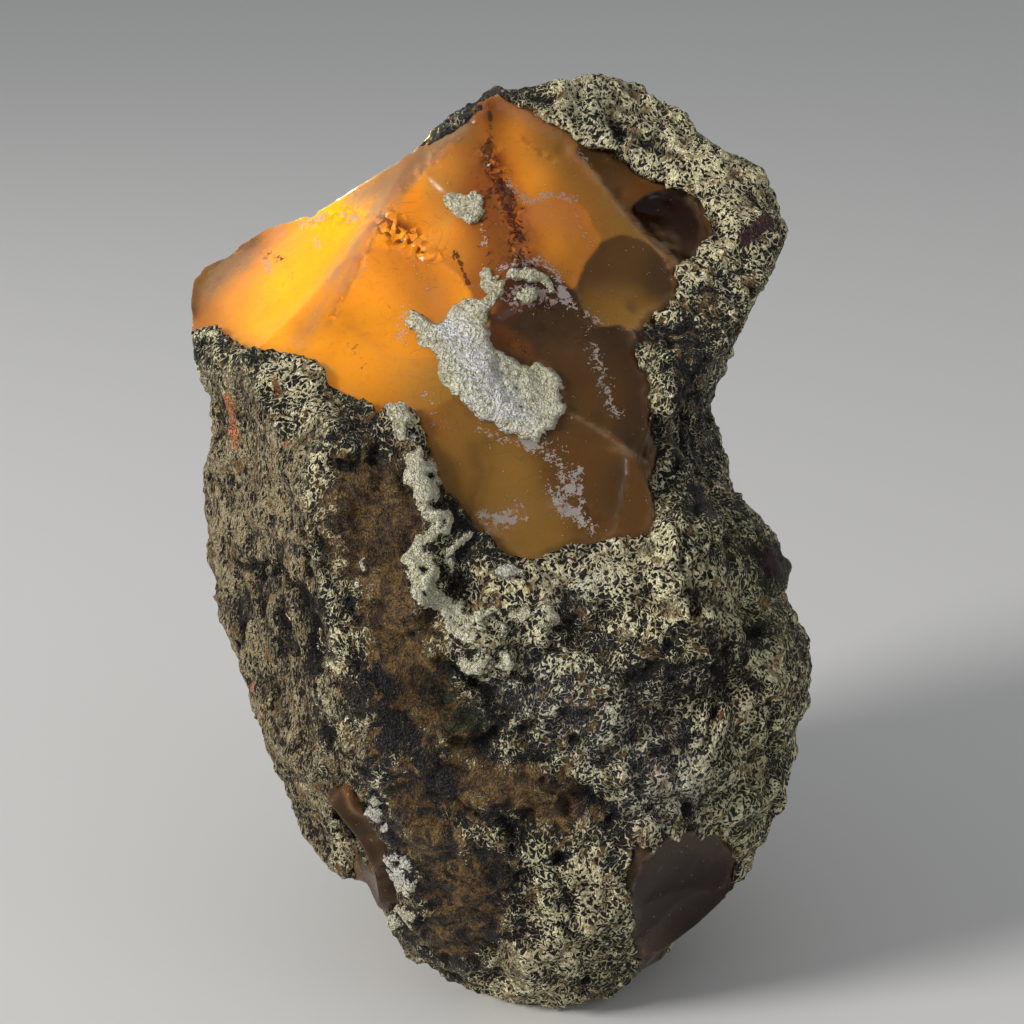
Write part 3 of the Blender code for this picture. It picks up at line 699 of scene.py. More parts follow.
def stone_mesh(grain, rounds):
    """The solid as one even mesh of this grain, with its flat triangles smoothed away."""
    bm = bmesh.new()
    bm.from_mesh(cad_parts[NODE].data)
    bmesh.ops.remove_doubles(bm, verts=bm.verts, dist=1e-6)
    whole = bpy.data.meshes.new("whole")
    bm.to_mesh(whole)
    bm.free()
    even, _ = finished(whole, ("REMESH", {"mode": "VOXEL", "voxel_size": grain}))
    bm = bmesh.new()
    bm.from_mesh(even)
    for _ in range(rounds):
        bmesh.ops.smooth_vert(bm, verts=bm.verts, factor=0.5, use_axis_x=True, use_axis_y=True, use_axis_z=True)
    bm.to_mesh(even)
    bm.free()
    return even


def set_values(mesh, name, values):
    """A value or a colour at each point, for the material to read."""
    if values.ndim == 1:
        mesh.attributes.new(name, "FLOAT", "POINT").data.foreach_set("value", values.astype(np.float32))
        return
    full = np.ones((len(values), 4), np.float32)
    full[:, :3] = values
    mesh.attributes.new(name, "FLOAT_COLOR", "POINT").data.foreach_set("color", full.reshape(-1))


def new_piece(name, mesh, material):
    mesh.name = name
    mesh.materials.clear()
    mesh.materials.append(material)
    mesh.shade_smooth()
    piece = bpy.data.objects.new(name, mesh)
    bpy.context.scene.collection.objects.link(piece)
    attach(piece, "root")
    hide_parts(NODE)
    return piece


# ---------------------------------------------------------------- material building blocks


class Nodes:
    """A short way to lay down and join the nodes of one tree."""

    def __init__(self, tree):
        self.tree = tree
        self.column = 0

    def add(self, kind, sockets=None, **settings):
        node = self.tree.nodes.new(kind)
        node.location = (self.column * 190 - 1800, -(self.column % 7) * 210)
        self.column += 1
        for key, value in settings.items():
            setattr(node, key, value)
        for key, value in (sockets or {}).items():
            if isinstance(value, bpy.types.NodeSocket):
                self.tree.links.new(value, node.inputs[key])
            else:
                node.inputs[key].default_value = value
        return node

    def math(self, operation, first, second=0.0, third=0.0, clamp=False):
        return self.add("ShaderNodeMath", {0: first, 1: second, 2: third}, operation=operation, use_clamp=clamp).outputs[0]

    def ramp(self, value, low, high, to_low=0.0, to_high=1.0):
        sockets = {"Value": value, "From Min": low, "From Max": high, "To Min": to_low, "To Max": to_high}
        return self.add("ShaderNodeMapRange", sockets, interpolation_type="SMOOTHSTEP").outputs["Result"]

    def mix(self, share, first, second, blend="MIX"):
        node = self.add("ShaderNodeMix", {0: share, 6: first, 7: second}, data_type="RGBA", blend_type=blend)
        return node.outputs[2]

    def attribute(self, name, output="Fac"):
        return self.add("ShaderNodeAttribute", attribute_name=name).outputs[output]

    def mottle(self, place, grains, cover=0.5, softness=0.06, squiggle=1.0, worms=0.0):
        """Mask, noise and rounded height of the mottle group at these places."""
        node = self.add("ShaderNodeGroup")
        node.node_tree = mottle_group()
        sockets = {
            "Place": place, "Grains per mm": grains, "Cover": cover, "Softness": softness, "Squiggle": squiggle,
            "Worms": worms,
        }
        for key, value in sockets.items():
            if isinstance(value, bpy.types.NodeSocket):
                self.tree.links.new(value, node.inputs[key])
            else:
                node.inputs[key].default_value = value
        return node.outputs["Mask"], node.outputs["Noise"], node.outputs["Height"]

    def flowing(self, scale, bend):
        """Object coordinates, bent into slow swirls and then stretched by 1 / scale."""
        place = self.add("ShaderNodeTexCoord").outputs["Object"]
        swirl = self.add("ShaderNodeTexNoise", {"Vector": place, "Scale": 130.0, "Detail": 1.0}).outputs["Color"]
        swirl = self.add("ShaderNodeVectorMath", {0: swirl, 1: (0.5, 0.5, 0.5)}, operation="SUBTRACT").outputs[0]
        bent = self.add("ShaderNodeVectorMath", {0: swirl, 1: (bend,) * 3, 2: place}, operation="MULTIPLY_ADD")
        return self.add("ShaderNodeMapping", {"Vector": bent.outputs[0], "Scale": scale}).outputs["Vector"]


def mottle_group():
    """Grains and squiggly worms at each place: a mask with soft edges, and the noise under it."""
    found = bpy.data.node_groups.get("mottle")
    if found:
        return found
    tree = bpy.data.node_groups.new("mottle", "ShaderNodeTree")
    face = tree.interface
    for name, default in (
        ("Grains per mm", 1.0), ("Squiggle", 1.0), ("Worms", 0.0), ("Cover", 0.5), ("Softness", 0.06),
    ):
        face.new_socket(name=name, in_out="INPUT", socket_type="NodeSocketFloat").default_value = default
    face.new_socket(name="Place", in_out="INPUT", socket_type="NodeSocketVector")
    for name in ("Mask", "Noise", "Height"):
        face.new_socket(name=name, in_out="OUTPUT", socket_type="NodeSocketFloat")
    lay = Nodes(tree)
    inputs = lay.add("NodeGroupInput").outputs
    place = inputs["Place"]
    scale = lay.math("MULTIPLY", inputs["Grains per mm"], 1000.0)
    sockets = {"Vector": place, "Scale": scale, "Detail": 2.5, "Roughness": 0.6, "Distortion": inputs["Squiggle"]}
    grains = lay.add("ShaderNodeTexNoise", sockets).outputs["Fac"]
    sockets = {
        "Vector": place, "Scale": lay.math("MULTIPLY", scale, 0.62), "Detail": 1.2, "Roughness": 0.5,
        "Distortion": inputs["Squiggle"],
    }
    curves = lay.add("ShaderNodeTexNoise", sockets).outputs["Fac"]
    worms = lay.math("MULTIPLY_ADD", lay.math("ABSOLUTE", lay.math("SUBTRACT", curves, 0.5)), -7.0, 0.95)
    blobs = lay.math("MULTIPLY_ADD", grains, 1.9, -0.45)
    # One product and one sum, so that Cycles drops the second noise wherever Worms is 0.
    both = lay.math("ADD", blobs, lay.math("MULTIPLY", lay.math("SUBTRACT", worms, blobs), inputs["Worms"]))
    edge = lay.math("SUBTRACT", 1.0, inputs["Cover"])
    low = lay.math("SUBTRACT", edge, inputs["Softness"])
    high = lay.math("ADD", edge, inputs["Softness"])
    mask = lay.ramp(both, low, high)
    rounded = lay.ramp(both, lay.math("SUBTRACT", edge, 0.35), lay.math("ADD", edge, 0.35))
    out = lay.add("NodeGroupOutput")
    tree.links.new(mask, out.inputs["Mask"])
    tree.links.new(grains, out.inputs["Noise"])
    tree.links.new(rounded, out.inputs["Height"])
    return tree


def new_material(name):
    made = bpy.data.materials.new(name)
    made.use_nodes = True
    made.node_tree.nodes.clear()
    lay = Nodes(made.node_tree)
    shader = lay.add("ShaderNodeBsdfPrincipled")
    output = lay.add("ShaderNodeOutputMaterial", {"Surface": shader.outputs["BSDF"]})
    return made, lay, shader, output


def feed(lay, shader, **sockets):
    for name, value in sockets.items():
        socket = shader.inputs[name.replace("_", " ")]
        if isinstance(value, bpy.types.NodeSocket):
            lay.tree.links.new(value, socket)
        else:
            socket.default_value = value


def rgba(colour):
    return (*colour, 1.0)


def struck(lay, place):
    """Mask of fine broken arcs round the points where the opal was struck."""
    arcs = 0.0
    for centre, apart in ((STRIKES[1][0], 1.3), ((-36.0, 41.0, -4.0), 1.1), ((2.0, 22.0, 22.0), 2.4)):
        middle = Vector(from_plane(np.array(centre)))
        reach = lay.add("ShaderNodeVectorMath", {0: place, 1: middle}, operation="DISTANCE").outputs["Value"]
        _, wander, _ = lay.mottle(place, 0.16, squiggle=0.3)
        turns = lay.math("MULTIPLY_ADD", wander, 4.0, lay.math("MULTIPLY", reach, 1.0 / (apart * MM)))
        line = lay.ramp(lay.math("ABSOLUTE", lay.math("SUBTRACT", lay.math("FRACT", turns), 0.5)), 0.07, 0.0)
        _, patch, _ = lay.mottle(place, 0.32 / apart, squiggle=0.5)
        near = lay.ramp(reach, 9.0 * apart * MM, 3.0 * apart * MM)
        arcs = lay.math("MAXIMUM", arcs, lay.math("MULTIPLY", lay.math("MULTIPLY", line, near), lay.ramp(patch, 0.5, 0.62)))
    return arcs


def splinter_facet_light(lay, place):
    """Painted light and shade for each small sharp splinter of a break: a level from 0 to 1 that slopes across each
    facet, bright on one side and dark on the other.
    """
    _, wander, _ = lay.mottle(place, 0.5, squiggle=0.5)
    bent = lay.add("ShaderNodeVectorMath", {0: wander, 1: (0.0012, 0.0012, 0.0012), 2: place}, operation="MULTIPLY_ADD")
    slim = lay.add("ShaderNodeMapping", {
        "Vector": bent.outputs[0], "Rotation": (0.3, 0.0, 0.6), "Scale": (1.0, 0.5, 1.0),
    }).outputs["Vector"]
    cells = lay.add("ShaderNodeTexVoronoi", {"Vector": slim, "Scale": 950.0}).outputs
    centred = lay.add("ShaderNodeVectorMath", {0: cells["Color"], 1: (0.5, 0.5, 0.5)}, operation="SUBTRACT").outputs[0]
    aside = lay.add("ShaderNodeVectorMath", {0: slim, 1: cells["Position"]}, operation="SUBTRACT").outputs[0]
    slope = lay.add("ShaderNodeVectorMath", {0: aside, 1: centred}, operation="DOT_PRODUCT").outputs["Value"]
    flat = lay.add("ShaderNodeSeparateColor", {"Color": cells["Color"]}).outputs["Red"]
    return lay.math("MULTIPLY_ADD", slope, 1900.0, lay.math("MULTIPLY_ADD", flat, 0.6, 0.2))


def opal_material(colours):
    """Clear to milky opal: the colour of each place, frosting, ripples and dust, with a painted glow given out as
    emission, and painted highlights and shade on the splinters and along the flake edges.
    """
    made, lay, shader, output = new_material("fire_opal")
    tint = lay.attribute("opal_tint", "Color")
    frost_and_highlight = lay.attribute("frost_and_highlight")
    dust = lay.attribute("dust")
    place = lay.add("ShaderNodeTexCoord").outputs["Object"]
    cloud, _, _ = lay.mottle(place, 0.11, softness=0.5, squiggle=0.6)
    _, vein_noise, _ = lay.mottle(place, 0.95, squiggle=1.2)
    _, specks, _ = lay.mottle(place, 2.1, squiggle=1.0)
    deeper = lay.mix(0.35, tint, rgba(colours.smoke), "MULTIPLY")
    colour = lay.mix(lay.math("MULTIPLY", cloud, 0.4), tint, deeper)
    rusty = lay.ramp(lay.math("MULTIPLY_ADD", lay.attribute("veined"), 0.40, vein_noise), 0.70, 0.80)
    colour = lay.mix(rusty, colour, rgba(colours.vein))
    splintered = lay.attribute("splintered")
    # Painted highlights and painted shade on the lit and dark sides of the splinters' facets; the darker colour also
    # darkens the veins' spots and the struck arcs.
    painted_highlight = lay.mix(1.0, colour, (1.7, 1.6, 1.3, 1.0), "MULTIPLY")
    dark_tone_and_shade = lay.mix(1.0, colour, (0.26, 0.18, 0.12, 1.0), "MULTIPLY")
    facet_light = splinter_facet_light(lay, place)
    colour = lay.mix(lay.math("MULTIPLY", lay.ramp(facet_light, 0.58, 0.9), splintered, clamp=True), colour, painted_highlight)
    colour = lay.mix(lay.math("MULTIPLY", lay.ramp(facet_light, 0.46, 0.2), splintered, clamp=True), colour, dark_tone_and_shade)
    colour = lay.mix(lay.math("MULTIPLY", lay.ramp(vein_noise, 0.5, 0.72), 0.17), colour, dark_tone_and_shade)
    colour = lay.mix(lay.math("MULTIPLY", struck(lay, place), 0.5), colour, dark_tone_and_shade)
    # Frost on the ridges and veils, together with the painted highlights along the flake edges, turns the colour
    # towards haze.
    colour = lay.mix(lay.math("MULTIPLY", frost_and_highlight, 0.75), colour, rgba(colours.haze))
    here = lay.math("MULTIPLY_ADD", specks, 1.7, lay.math("MULTIPLY_ADD", vein_noise, 1.3, -0.65))
    dusty = lay.math("MULTIPLY", lay.ramp(lay.math("ADD", here, dust), 1.28, 1.42), 0.85)
    colour = lay.mix(dusty, colour, rgba(colours.dust))
    fine = lay.add("ShaderNodeTexNoise", {
        "Vector": place, "Scale": 420.0, "Detail": 5.0, "Roughness": 0.55, "Distortion": 0.6,
    }).outputs["Fac"]
    rough = lay.math("MULTIPLY_ADD", frost_and_highlight, 0.3, lay.math("MULTIPLY_ADD", fine, 0.2, 0.08))
    rough = lay.math("MULTIPLY_ADD", dusty, 0.5, rough, clamp=True)
    height = lay.math("MULTIPLY_ADD", dusty, 0.8, lay.math("MULTIPLY", fine, 0.35))
    bump = lay.add("ShaderNodeBump", {"Height": height, "Strength": 0.35, "Distance": 0.0002})
    # Painted glow: the opal's colour given out as emission along the glow strokes, less where it is frosted or dusty.
    lit = lay.math("MULTIPLY", lay.math("MULTIPLY_ADD", frost_and_highlight, -0.45, 1.0), lay.math("SUBTRACT", 1.0, dusty))
    painted_glow = lay.mix(lay.math("MULTIPLY", lay.attribute("painted_glow"), lit), (0.0, 0.0, 0.0, 1.0), colour)
    feed(
        lay, shader, Base_Color=colour, Roughness=rough, Normal=bump.outputs["Normal"], Emission_Color=painted_glow,
        Emission_Strength=1.0, IOR=1.36, Transmission_Weight=0.5, Subsurface_Weight=1.0,
        Subsurface_Radius=(1.0, 0.42, 0.12), Subsurface_Scale=0.0015, Coat_Weight=0.06, Coat_Roughness=0.08,
        Specular_IOR_Level=0.05,
    )
    absorb = lay.add("ShaderNodeVolumeAbsorption", {"Color": (0.984, 0.85, 0.02, 1.0), "Density": 600.0})
    lay.tree.links.new(absorb.outputs["Volume"], output.inputs["Volume"])
    return made


def rind_material(colours):
    """Weathered rind: squiggly cream crust on near-black rock, with earthy, slaty, rusty and pale crusted zones, and
    painted shade in its low places and round the crust clumps.
    """
    made, lay, shader, _ = new_material("weathered_rind")
    cream, earth, crusted, bloom, rust, olive, plum, slate, flank, relief = (
        lay.attribute(name)
        for name in ("cream", "earth", "crusted", "bloom", "rust", "olive", "plum", "slate", "flank", "relief")
    )
    place = lay.flowing((1.0, 1.0, 0.9), bend=0.0030)
    upright = lay.flowing((1.0, 1.0, 0.42), bend=0.0012)
    _, broad, _ = lay.mottle(place, 0.2, softness=0.4, squiggle=0.6)
    broad = lay.math("MULTIPLY_ADD", broad, 1.0, -0.5)
    soil, soil_noise, _ = lay.mottle(place, 0.5, cover=0.42, softness=0.2, squiggle=0.9)
    broad = lay.math("MULTIPLY_ADD", lay.math("SUBTRACT", soil_noise, 0.5), 1.2, broad)
    cover = lay.math("ADD", cream, lay.math("MULTIPLY_ADD", relief, 0.16, broad))
    squiggles, _, ridges = lay.mottle(place, 2.4, cover=cover, softness=0.07, squiggle=0.5, worms=1.0)
    above = lay.math("ADD", cover, 0.08)
    streaks, _, _ = lay.mottle(upright, 3.2, cover=above, softness=0.16, squiggle=0.4, worms=0.6)
    squiggles = lay.math("MULTIPLY_ADD", lay.math("SUBTRACT", streaks, squiggles), flank, squiggles)
    grit_mask, grit, _ = lay.mottle(place, 3.4, softness=0.22, squiggle=0.4)
    specks, _, _ = lay.mottle(place, 4.2, cover=0.3, softness=0.08, squiggle=0.3)
    plain = lay.add("ShaderNodeTexCoord").outputs["Object"]
    holes, grains, _ = lay.mottle(plain, 1.5, cover=0.86, softness=0.1, squiggle=0.2)
    _, fissure, _ = lay.mottle(place, 0.42, squiggle=0.9)
    fissure = lay.ramp(lay.math("ABSOLUTE", lay.math("SUBTRACT", fissure, 0.5)), 0.012, 0.0)

    ground = lay.mix(soil, rgba(colours.rock_dark), rgba(colours.rock_brown))
    ground = lay.mix(lay.math("MULTIPLY", olive, 0.7, clamp=True), ground, rgba(colours.olive))
    earthy = lay.ramp(lay.math("MULTIPLY_ADD", broad, 0.8, earth), 0.15, 0.6)
    soil_level = lay.math("MULTIPLY_ADD", grit, 0.35, lay.math("MULTIPLY", soil_noise, 0.65))
    soil_tone = lay.mix(lay.ramp(soil_level, 0.42, 0.60), rgba(colours.umber), rgba(colours.ochre))
    soil_tone = lay.mix(lay.math("MULTIPLY", fissure, 0.85), soil_tone, rgba(colours.rock_dark))
    ground = lay.mix(lay.math("MULTIPLY", flank, 0.35, clamp=True), ground, rgba(colours.umber))
    shaded = lay.mix(1.0, ground, (0.40, 0.40, 0.40, 1.0), "MULTIPLY")
    ground = lay.mix(grit_mask, shaded, ground)
    ground = lay.mix(earthy, ground, soil_tone)
    slaty = lay.math("MULTIPLY", lay.ramp(lay.math("ADD", broad, slate), 0.1, 0.7), lay.ramp(grit, 0.4, 0.62))
    ground = lay.mix(lay.math("MULTIPLY", slaty, 0.6), ground, rgba(colours.slate))
    ground = lay.mix(lay.math("MULTIPLY", specks, 0.5), ground, rgba(colours.rock_grey))

    pale = lay.mix(grit_mask, rgba(colours.cream), rgba(colours.cream_pale))
    pale = lay.mix(lay.math("MULTIPLY", slate, 0.5, clamp=True), pale, rgba(colours.slate_pale))
    pale = lay.mix(lay.math("MULTIPLY", flank, 0.85, clamp=True), pale, rgba(colours.beige))
    pale = lay.mix(lay.math("MULTIPLY", olive, 0.35, clamp=True), pale, rgba(colours.olive))
    # Painted shade in the low places of the relief: the pale crust dulls towards beige there.
    dulled = lay.ramp(relief, -1.2, 0.4, 0.6, 0.0)
    pale = lay.mix(dulled, pale, rgba(colours.beige))
    colour = lay.mix(squiggles, ground, pale)
    stains = lay.math("MULTIPLY", lay.ramp(soil_noise, 0.56, 0.64), lay.ramp(broad, -0.1, 0.15))
    colour = lay.mix(lay.math("MULTIPLY", stains, 0.75), colour, soil_tone)
    plum_share = lay.ramp(lay.math("MULTIPLY_ADD", grit, 0.8, plum), 0.95, 1.15)
    colour = lay.mix(lay.math("MULTIPLY", plum_share, 0.9), colour, rgba(colours.plum))
    rust_share = lay.ramp(lay.math("MULTIPLY_ADD", soil_noise, 1.6, lay.math("ADD", rust, -0.85)), 0.55, 0.8)
    rust_share = lay.math("MULTIPLY", rust_share, lay.ramp(grit, 0.34, 0.48, 0.25, 0.95))
    colour = lay.mix(rust_share, colour, rgba(colours.rust))

    clumps = lay.math("MULTIPLY_ADD", grains, 0.9, lay.math("MULTIPLY_ADD", grit, 0.9, crusted))
    white_share = lay.ramp(clumps, 1.42, 1.52)
    crust_level = lay.math("MULTIPLY_ADD", grains, 0.5, lay.math("MULTIPLY", soil_level, 0.5))
    white = lay.mix(lay.ramp(crust_level, 0.43, 0.53), rgba(colours.crust_deep), rgba(colours.crust))
    white = lay.mix(lay.math("MULTIPLY", bloom, lay.ramp(grains, 0.36, 0.5), clamp=True), white, rgba(colours.bloom))
    white = lay.mix(holes, rgba(colours.rock_grey), white)
    # Painted shade: a dark ring of rock round the edge of each raised crust clump.
    crust_edge_shade = lay.math("MULTIPLY", lay.ramp(clumps, 1.24, 1.36), lay.math("SUBTRACT", 1.0, white_share))
    colour = lay.mix(lay.math("MULTIPLY", crust_edge_shade, 0.8), colour, rgba(colours.rock_dark))
    colour = lay.mix(white_share, colour, white)

    # Painted shade: every colour darkens in the low places of the relief, its creases, pits and folds, down to a
    # quarter.
    crease_shade = lay.ramp(relief, -1.9, 0.1, 0.25, 1.0)
    shade = lay.add("ShaderNodeCombineColor", {"Red": crease_shade, "Green": crease_shade, "Blue": crease_shade}).outputs["Color"]
    colour = lay.mix(1.0, colour, shade, "MULTIPLY")
    rough = lay.math("MULTIPLY_ADD", squiggles, 0.35, 0.45)
    height = lay.math("MULTIPLY_ADD", ridges, 0.8, lay.math("MULTIPLY", grit, 0.9))
    height = lay.math("MULTIPLY_ADD", lay.math("MULTIPLY", grains, white_share), 2.8, height)
    height = lay.math("MULTIPLY_ADD", soil_noise, 1.2, lay.math("MULTIPLY_ADD", fissure, -0.5, height))
    bump = lay.add("ShaderNodeBump", {"Height": height, "Strength": 1.0, "Distance": 0.0007})
    feed(lay, shader, Base_Color=colour, Roughness=rough, Normal=bump.outputs["Normal"], Specular_IOR_Level=0.2)
    return made


# ---------------------------------------------------------------- settings


def colour_property(name, description, default):
    return FloatVectorProperty(
        name=name, description=description, subtype="COLOR", size=3, min=0.0, max=1.0, default=default
    )


class OpalColours(bpy.types.PropertyGroup):
    yellow: colour_property("Yellow", "Brightest part of the glowing face", (1.0, 0.40, 0.003))
    orange: colour_property("Orange", "Lit opal", (0.92, 0.33, 0.015))
    amber: colour_property("Amber", "Opal of middling depth", (0.74, 0.27, 0.025))
    salmon: colour_property("Salmon", "Milky edges", (0.86, 0.31, 0.065))
    honey: colour_property("Honey", "Thick but still lit opal", (0.50, 0.26, 0.05))
    bark: colour_property("Bark", "Deep brown opal", (0.22, 0.105, 0.024))
    smoke: colour_property("Smoke", "Smoky opal", (0.095, 0.048, 0.016))
    deep: colour_property("Deep", "Darkest opal", (0.031, 0.010, 0.003))
    rust: colour_property("Rust", "Stained opal", (0.40, 0.13, 0.02))
    vein: colour_property("Vein", "Dark stained veins", (0.14, 0.052, 0.014))
    haze: colour_property("Haze", "Frosted ridges", (0.55, 0.36, 0.20))
    dust: colour_property("Dust", "Pale specks on the bare faces", (0.64, 0.59, 0.56))


class RindColours(bpy.types.PropertyGroup):
    cream: colour_property("Cream", "Crust in squiggles", (0.56, 0.485, 0.245))
    cream_pale: colour_property("Pale cream", "Crust on the high spots", (0.98, 0.92, 0.62))
    beige: colour_property("Beige", "Crust of the left flank and of hollows", (0.36, 0.29, 0.165))
    rock_dark: colour_property("Dark rock", "Rock between the crust", (0.016, 0.015, 0.014))
    rock_brown: colour_property("Brown rock", "Rock stained brown", (0.050, 0.030, 0.018))
    rock_grey: colour_property("Grey rock", "Grit", (0.13, 0.125, 0.12))
    umber: colour_property("Umber", "Darker earth", (0.062, 0.038, 0.020))
    ochre: colour_property("Ochre", "Lighter earth", (0.215, 0.122, 0.038))
    olive: colour_property("Olive", "Greenish crevices", (0.07, 0.075, 0.025))
    plum: colour_property("Plum", "Purplish knobs", (0.055, 0.022, 0.024))
    slate: colour_property("Slate", "Blue-grey rock", (0.085, 0.086, 0.092))
    slate_pale: colour_property("Pale slate", "Crust on slaty rock", (0.46, 0.46, 0.42))
    rust: colour_property("Rust", "Orange streaks", (0.58, 0.20, 0.09))
    crust: colour_property("Crust", "Thick pale crust", (0.88, 0.84, 0.62))
    crust_deep: colour_property("Deep crust", "Thick crust in its hollows", (0.66, 0.60, 0.38))
    bloom: colour_property("Bloom", "White bloom on the crust", (0.88, 0.86, 0.84))


class OpalSizes(bpy.types.PropertyGroup):
    opal_grain: FloatProperty(
        name="Opal grain", description="Mesh size of the opal", default=0.0004, min=0.0003, unit="LENGTH"
    )
    rind_grain: FloatProperty(
        name="Rind grain", description="Mesh size of the rind", default=0.00056, min=0.0003, unit="LENGTH"
    )
    rind_thickness: FloatProperty(
        name="Rind thickness", description="Thickness of the rind's skin", default=0.0011, min=0.0002, unit="LENGTH"
    )
    relief: FloatProperty(
        name="Relief", description="Height of the rind's fine lumps", default=0.0004, min=0.0, unit="LENGTH"
    )
    ripple: FloatProperty(
        name="Ripple", description="Height of the ripples on the breaks", default=0.00008, min=0.0, unit="LENGTH"
    )


class StageSettings(bpy.types.PropertyGroup):
    floor: colour_property("Floor", "Colour of the floor", (0.72, 0.71, 0.69))
    field: FloatProperty(
        name="Field of view", description="Camera's field of view", default=math.radians(30.0), subtype="ANGLE"
    )
    key: FloatProperty(name="Key", description="Power of the key light", default=11.5, min=0.0, unit="POWER")
    fill: FloatProperty(name="Fill", description="Power of the fill light", default=0.8, min=0.0, unit="POWER")
    back: FloatProperty(name="Back", description="Power of the beam behind the stone", default=5.0, min=0.0, unit="POWER")


# ---------------------------------------------------------------- pieces


class FIREOPAL_OT_body(bpy.types.Operator):
    """Builds the opal inside the rind, with its broken faces"""

    bl_idname = "fire_opal.body"
    bl_label = "Opal body"

    def execute(self, context):
        sizes, colours = context.scene.opal_sizes, context.scene.opal_colours
        mesh = stone_mesh(sizes.opal_grain, 3)
        points = to_plane(read(mesh))
        facing = (read(mesh, "normal") @ leaning_axes().T)[:, 2]
        away = bare_distance(points, facing)
        mesh, _ = finished(
            mesh,
            ("DECIMATE", {"ratio": self.kept(mesh, away), "vertex_group": "hidden", "vertex_group_factor": 1.0}),
            groups=[("hidden", away > 3.5)],
        )
        points = to_plane(read(mesh))
        normals = read(mesh, "normal") @ leaning_axes().T
        away = bare_distance(points, normals[:, 2])
        deepest = scar_depths(points).max(axis=1)
        near = (1 - ease(deepest, 2.6, 4.4)) * (1 - ease(-deepest, 1.2, 2.2)) * (1 - ease(away, 0.2, 1.4))
        points = drop_onto_scars(points, near)
        depths, edges = scar_depths(points), flake_edges(points)
        points[:, 2] -= flake_depth(edges) * (1 - ease(away, 1.5, 3.0))
        points = self.chipped(points, normals, away)
        splintered = zone(points, np.ones(len(points)), HACKLES) * ease(away, 0.2, -0.5) * (points[:, 2] > -5.0)
        points = points + normals * self.hackled(points, splintered)[:, None]
        under = 0.4 * ease(away, 0.0, 0.6) + 0.95 * ease(away, 0.4, 2.6)
        ripples = self.ripples(points, away) * sizes.ripple / MM
        points = points + normals * (ripples - under)[:, None]
        put_back(mesh, from_plane(points))
        set_values(mesh, "splintered", splintered)
        self.paint(mesh, points, away, depths, edges, colours)
        piece = new_piece("opal_body", mesh, opal_material(colours))
        if len(piece.data.polygons) < 1000:
            raise RuntimeError("the opal body came out empty")
        return {"FINISHED"}

    def kept(self, mesh, away):
        """Share of the faces to keep, so that the hidden ones go down to a twentieth."""
        hidden = float((away > 3.5).mean())
        return 1.0 - hidden * 0.95

    def chipped(self, points, normals, away):
        """Small shells chipped out of the bare faces."""
        points, spots = points.copy(), seen(points)
        for across, along, radius, depth in CHIPS:
            reach = np.hypot(spots[:, 0] - across, spots[:, 1] - along)
            near = (reach < radius * 1.3) & (away < 0.5) & (normals[:, 2] > 0)
            if not near.any():
                continue
            bowl = np.clip(1 - (reach[near] / radius) ** 2, 0, 1)
            tilt = (spots[near, 0] - across) / radius * 0.35 + (spots[near, 1] - along) / radius * 0.25
            points[near] -= normals[near] * (depth * bowl * (1 + tilt))[:, None]
        return points

    def hackled(self, points, weight):
        """Height of the small sharp facets where the breaks are splintered, up to 0.5 mm either way."""
        height = np.zeros(len(points))
        for index in np.nonzero(weight > 0.05)[0]:
            spot = Vector(points[index]) / 1.2
            cell = noise.voronoi(spot)[1][0]
            tilt = noise.noise_vector(cell * 5.3)
            height[index] = weight[index] * (1.1 * tilt.dot(spot - cell) + 0.35 * tilt.x)
        return height

    def ripples(self, points, away):
        """Curved ripples that spread from where each face was struck, about one either way."""
        heights = 0.9 * noise_at(points, 7.0, 4.0) + 0.35 * noise_at(points, 2.4, 8.0)
        wander, patchy = 1.8 * noise_at(points, 6.0, 1.0), ease(noise_at(points, 5.0, 15.0), -0.1, 0.4)
        for centre, length in STRIKES:
            reach = np.linalg.norm(points - np.array(centre), axis=1)
            fade = np.exp(-((reach / (length * 4.5)) ** 2)) * patchy
            heights += 0.45 * fade * np.sin((reach + wander) / length * math.tau)
        return heights * (1 - ease(away, 0.0, 1.0))

    def tint_of(self, name, spots, colours):
        """Colour of one face or flake at each spot."""
        total = np.full(len(spots), 1e-4)
        sums = np.array(colours.bark)[None, :] * total[:, None]
        for colour, line, reach in OPAL_ZONES.get(name, ()):
            weight = np.exp(-((distance_to_line(spots, line) / reach) ** 2))
            sums += np.array(getattr(colours, colour))[None, :] * weight[:, None]
            total += weight
        return sums / total[:, None]

    def paint(self, mesh, points, away, depths, edges, colours):
        spots = seen(points) + noise_shift(points, 6.0, 6.0)[:, :2] * 0.9
        front = ease(points[:, 2], -12.0, 0.0)
        shares = np.exp((depths - depths.max(axis=1, keepdims=True)) / 0.15)
        shares /= shares.sum(axis=1, keepdims=True)
        tint = np.zeros((len(points), 3))
        for index, name in enumerate(SCARS):
            mine = shares[:, index] > 0.002
            tint[mine] += self.tint_of(name, spots[mine], colours) * shares[mine, index][:, None]
        for name, edge in edges.items():
            mine = edge < 0.3
            share = ease(edge[mine], 0.2, -0.2)[:, None]
            tint[mine] += (self.tint_of(name, spots[mine], colours) - tint[mine]) * share
        set_values(mesh, "opal_tint", tint)
        ranked = np.sort(depths, axis=1)
        ridge = np.exp(-(((ranked[:, -1] - ranked[:, -2]) / 0.22) ** 2))
        ridge *= np.clip(zone(points, np.ones(len(points)), RIDGES), 0, 1)
